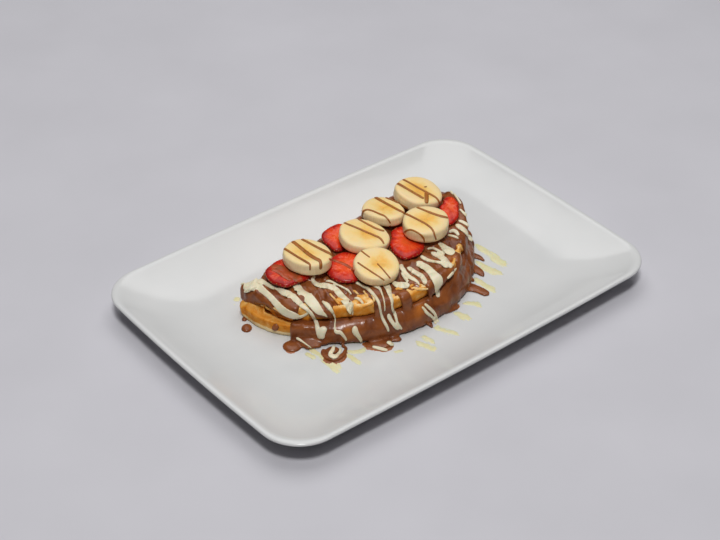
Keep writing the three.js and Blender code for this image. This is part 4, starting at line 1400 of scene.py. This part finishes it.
def banana(piece, seed):
    thick, radii = piece[3], piece[6]
    spin = np.random.RandomState(seed).uniform(0, 2 * math.pi, 4)[3]
    n = 120
    a = turns(n)
    outline = radius_at(radii, a)
    radius = outline.mean()
    # (how far in from the outline, height), then straight in over the face
    low = [(radius * 0.5, 0.0), (1.9, 0.05), (0.8, 0.35), (0.2, 1.3), (0.0, thick * 0.45)]
    high = [(0.10, 2.3), (0.45, 1.2), (1.2, 0.5), (2.3, 0.14), (3.6, 0.02)]
    bend = smooth_path(low + [(inset, thick - down) for inset, down in high], 4)
    scales = [1 - inset / radius for inset, _ in bend]
    scales += [(1 - 3.6 / radius) * f for f in np.linspace(0.965, 0.03, 22)]
    heights = [z for _, z in bend] + [thick - 0.02] * 22
    rings, local = [], []
    for s, z in zip(scales, heights):
        wave = 1 + 0.012 * noise(columns(np.cos(a) * 6, np.sin(a) * 6, z), 2.2, seed)
        rings.append(columns(outline * s * wave * np.cos(a), outline * s * wave * np.sin(a), z))
        local.append(columns(s * np.cos(a), s * np.sin(a), z / thick))
    rings, local = np.vstack(rings), np.vstack(local)
    # a dented heart with three lobes, and an uneven face
    k = np.hypot(local[:, 0], local[:, 1])
    phi = np.arctan2(local[:, 1], local[:, 0]) + spin
    dent = -0.35 * np.exp(-((k / 0.2) ** 2)) * (1 + 0.4 * np.cos(3 * phi))
    dent += 0.16 * np.exp(-(((k - 0.55) / 0.25) ** 2))
    rough = 0.14 * noise(rings, 3.4, seed) + 0.06 * noise(rings, 1.2, seed + 2)
    rings[:, 2] += step(0.9, 1.0, local[:, 2]) * (dent + rough) * step(1.0, 0.8, k)
    turned = columns(k * np.cos(phi), k * np.sin(phi), local[:, 2])
    return slice_mesh("banana", piece, rings, turned, n)


def strawberry(piece, seed, seeds):
    thick, radii = piece[3], piece[6]
    luck = np.random.RandomState(seed + 40)
    n = 104
    a = turns(n)
    outline = radius_at(radii, a) * (1 + 0.012 * np.cos(7 * a + 2 * seed))
    radius = outline.mean()
    # (height, size), up the side and then straight in over the face
    side = [(0.02, 0.30), (0.0, 0.70), (0.05, 0.87), (0.25, 0.955), (0.5, 1.0), (0.68, 0.99)]
    levels = smooth_path(side + [(0.82, 0.955), (0.92, 0.90), (0.98, 0.83)], 3)
    levels = np.vstack([levels, [(1.0, f) for f in np.linspace(0.77, 0.04, 18)]])
    pits = []  # (angle, height)
    count = int(2 * math.pi * radius / 3.4)
    for row, h in enumerate((0.3, 0.62)):
        for i in range(count):
            at = 2 * math.pi * (i + 0.5 * row + luck.uniform(-0.18, 0.18)) / count
            pits.append((at, h + luck.uniform(-0.06, 0.06)))
    rings, local, red = [], [], []
    for h, s in levels:
        dent = np.zeros(n)
        for at, hh in pits if s > 0.9 else []:
            gap = np.abs((a - at + np.pi) % (2 * np.pi) - np.pi) * radius
            dent += 0.35 * np.exp(-((gap / 0.8) ** 2) - (((h - hh) * thick / 0.8) ** 2))
        size = outline * s - dent
        rings.append(columns(size * np.cos(a), size * np.sin(a), thick * h))
        local.append(columns(s * np.cos(a), s * np.sin(a), h))
        red.append(np.full(n, float(step(0.86, 0.66, h)) if s > 0.8 else 0.0))
    rings, local = np.vstack(rings), np.vstack(local)
    k = np.hypot(local[:, 0], local[:, 1])
    rough = 0.28 * noise(rings, 3.0, seed) + 0.10 * noise(rings, 1.3, seed)
    face = 0.25 * (1 - k**2) - 0.35 * np.exp(-((k / 0.22) ** 2)) + rough
    rings[:, 2] += step(0.95, 1.0, local[:, 2]) * step(0.85, 0.7, k) * face
    me = slice_mesh("strawberry", piece, rings, local, n, thick * 0.02)
    mark(me, "red", np.r_[np.concatenate(red), 0, 0])
    # a pip in each pit
    for at, hh in pits:
        s = float(np.interp(hh, [0.05, 0.25, 0.55, 0.8], [0.87, 0.955, 1.0, 0.985]))
        size = float(radius_at(radii, at)) * (1 + 0.012 * math.cos(7 * at + 2 * seed)) * s - 0.30
        out = np.array([math.cos(at), math.sin(at), 0])
        middle = np.array([*(size * out[:2]), thick * hh])
        line = np.array([middle + [0, 0, t] for t in np.linspace(-0.62, 0.62, 5)])
        pip = Parts()
        tube(pip, line, np.tile(out, (5, 1)), 0.42, 0.36, 6, 1.6)
        seeds.take(laid(np.vstack(pip.points), piece), pip.faces)
    return me


flesh = banana_look()
fruit_meshes = []
for i, piece in enumerate(BANANA):
    me = banana(piece, i + 1)
    fruit_meshes.append(me)
    add(f"banana_{i + 1}", me, flesh, [f"banana_slice_{i + 1}"])
berry = strawberry_look()
pips = Parts()
for i, piece in enumerate(STRAWBERRY):
    me = strawberry(piece, i + 1, pips)
    fruit_meshes.append(me)
    add(f"strawberry_{i + 1}", me, berry, [f"strawberry_slice_{i + 1}"])
add("strawberry_pips", pips.mesh("pips"), plain_look("pip", (0.50, 0.16, 0.03), 0.4, 0.25, 900))


# ---- sauces over everything ---------------------------------------------------

fruit = tree_of(*fruit_meshes)
under_fruit = tree_of(plate_mesh, waffle_mesh, chocolate_mesh)


def on_food(p):
    """Whether a point is on the food, or on the plate in front of it."""
    return p[2] > 13 or 190 < polar(p[None])[1][0] < 320


# white chocolate stripes, and one pale strip that paints the highlight on the lit lower edge of the upper
# half
white_and_highlight_parts = Parts()
paint_all(white_and_highlight_parts, under_fruit, WHITE_AND_HIGHLIGHT, 1.4, 0.3, 0.6, 12, grow=1.06, keep=on_food)
add("white_chocolate_stripes_and_painted_highlight", remeshed(white_and_highlight_parts.mesh("white"), WHITE_SKIN, 2), white_look())

yellow_parts = Parts()
full = [film(yellow_parts, ground, stroke, 0.55, i + 1.0) for i, stroke in enumerate(YELLOW)]
yellow_mesh = yellow_parts.mesh("films")
mark(yellow_mesh, "full", np.clip(np.concatenate(full), 0, 1))

brown_parts = Parts()
thin = [1 - film(brown_parts, ground, stroke, 0.8, i + 51.0, 0.4) for i, stroke in enumerate(BROWN)]
brown_mesh = brown_parts.mesh("brown")
mark(brown_mesh, "thin", np.clip(np.concatenate(thin), 0, 1) * 0.6)
add("chocolate_films", brown_mesh, chocolate_look("chocolate_film", 0.9, (0.50, 0.15, 0.03)))

crumb_parts = Parts()
paint_all(crumb_parts, under_fruit, CRUMBS, 1.1, 0.5, 0.6, 10, keep=on_food)
crumb_mesh = remeshed(crumb_parts.mesh("ridges"), RIDGE_SKIN, 2)
co = coords(crumb_mesh)
put(crumb_mesh, co + normals(crumb_mesh) * (0.2 * noise(co, 2.1, 4.1))[:, None])
mark(crumb_mesh, "bake", np.clip(0.22 + 0.25 * noise(co, 4, 8.3), 0, 1))
add("waffle_ridges", crumb_mesh, waffle_look())
thin_white = white_look("thin_white_chocolate", (0.72, 0.68, 0.42), (0.68, 0.62, 0.34), (0.60, 0.61, 0.56))
add("white_chocolate_films", yellow_mesh, thin_white)

# chocolate smears on the strawberries, and one painted shadow under banana 4 drawn as a dark film
smear_and_shadow_parts = Parts()
paint_all(smear_and_shadow_parts, fruit, SMEARS_AND_SHADOW, 0.34, 0.3, 0.6, 12)
smear_and_shadow_mesh = smear_and_shadow_parts.mesh("smears_and_shadow")
co = coords(smear_and_shadow_mesh)
mark(smear_and_shadow_mesh, "thin", np.clip(0.55 + 0.5 * noise(co, 3.2, 2.0) + 0.3 * noise(co, 1.4, 3.0), 0, 1))
add("chocolate_smears_and_painted_shadow", smear_and_shadow_mesh, chocolate_look("smeared_chocolate_and_painted_shadow", 0.9, (0.50, 0.07, 0.02)))

thread_parts = Parts()
paint_all(thread_parts, fruit, THREADS, 0.6, 0.12, 0.4, 8, 2, 3.5)
thread_mesh = thread_parts.mesh("threads")
mark(thread_mesh, "thin", 0.65 + 0.3 * noise(coords(thread_mesh), 7, 2.0))
thread_look = chocolate_look("thin_chocolate", 1.15, (0.42, 0.15, 0.022))
add("chocolate_threads", thread_mesh, thread_look)


# ---- stage ------------------------------------------------------------------

FAR = 4000  # mm from the middle to the floor's edge
corners = [(-FAR, -FAR, 0), (FAR, -FAR, 0), (FAR, FAR, 0), (-FAR, FAR, 0)]
floor = link("floor", mesh_of("floor", corners, [[0, 1, 2, 3]]))
floor.data.materials.append(plain_look("floor", (0.55, 0.54, 0.575), 0.75, 0.03, 9))

world = bpy.data.worlds.new("studio")
bpy.context.scene.world = world
world.use_nodes = True
background = world.node_tree.nodes["Background"].inputs
background["Color"].default_value = (0.93, 0.96, 1.0, 1)
background["Strength"].default_value = 0.05


def soft_light(name, at, size, power):
    """A square lamp over the table that faces the middle of the plate."""
    lamp = bpy.data.lights.new(name, "AREA")
    lamp.shape = "SQUARE"
    lamp.size = size
    lamp.energy = power
    ob = link(name, lamp)
    ob.location = at
    ob.rotation_euler = (-Vector(at)).to_track_quat("-Z", "Y").to_euler()


soft_light("key", (-0.735, -0.872, 2.337), 0.45, 37)
soft_light("overhead", (0.35, 0.43, 1.5), 1.5, 15)

bpy.context.scene.view_settings.view_transform = "Standard"
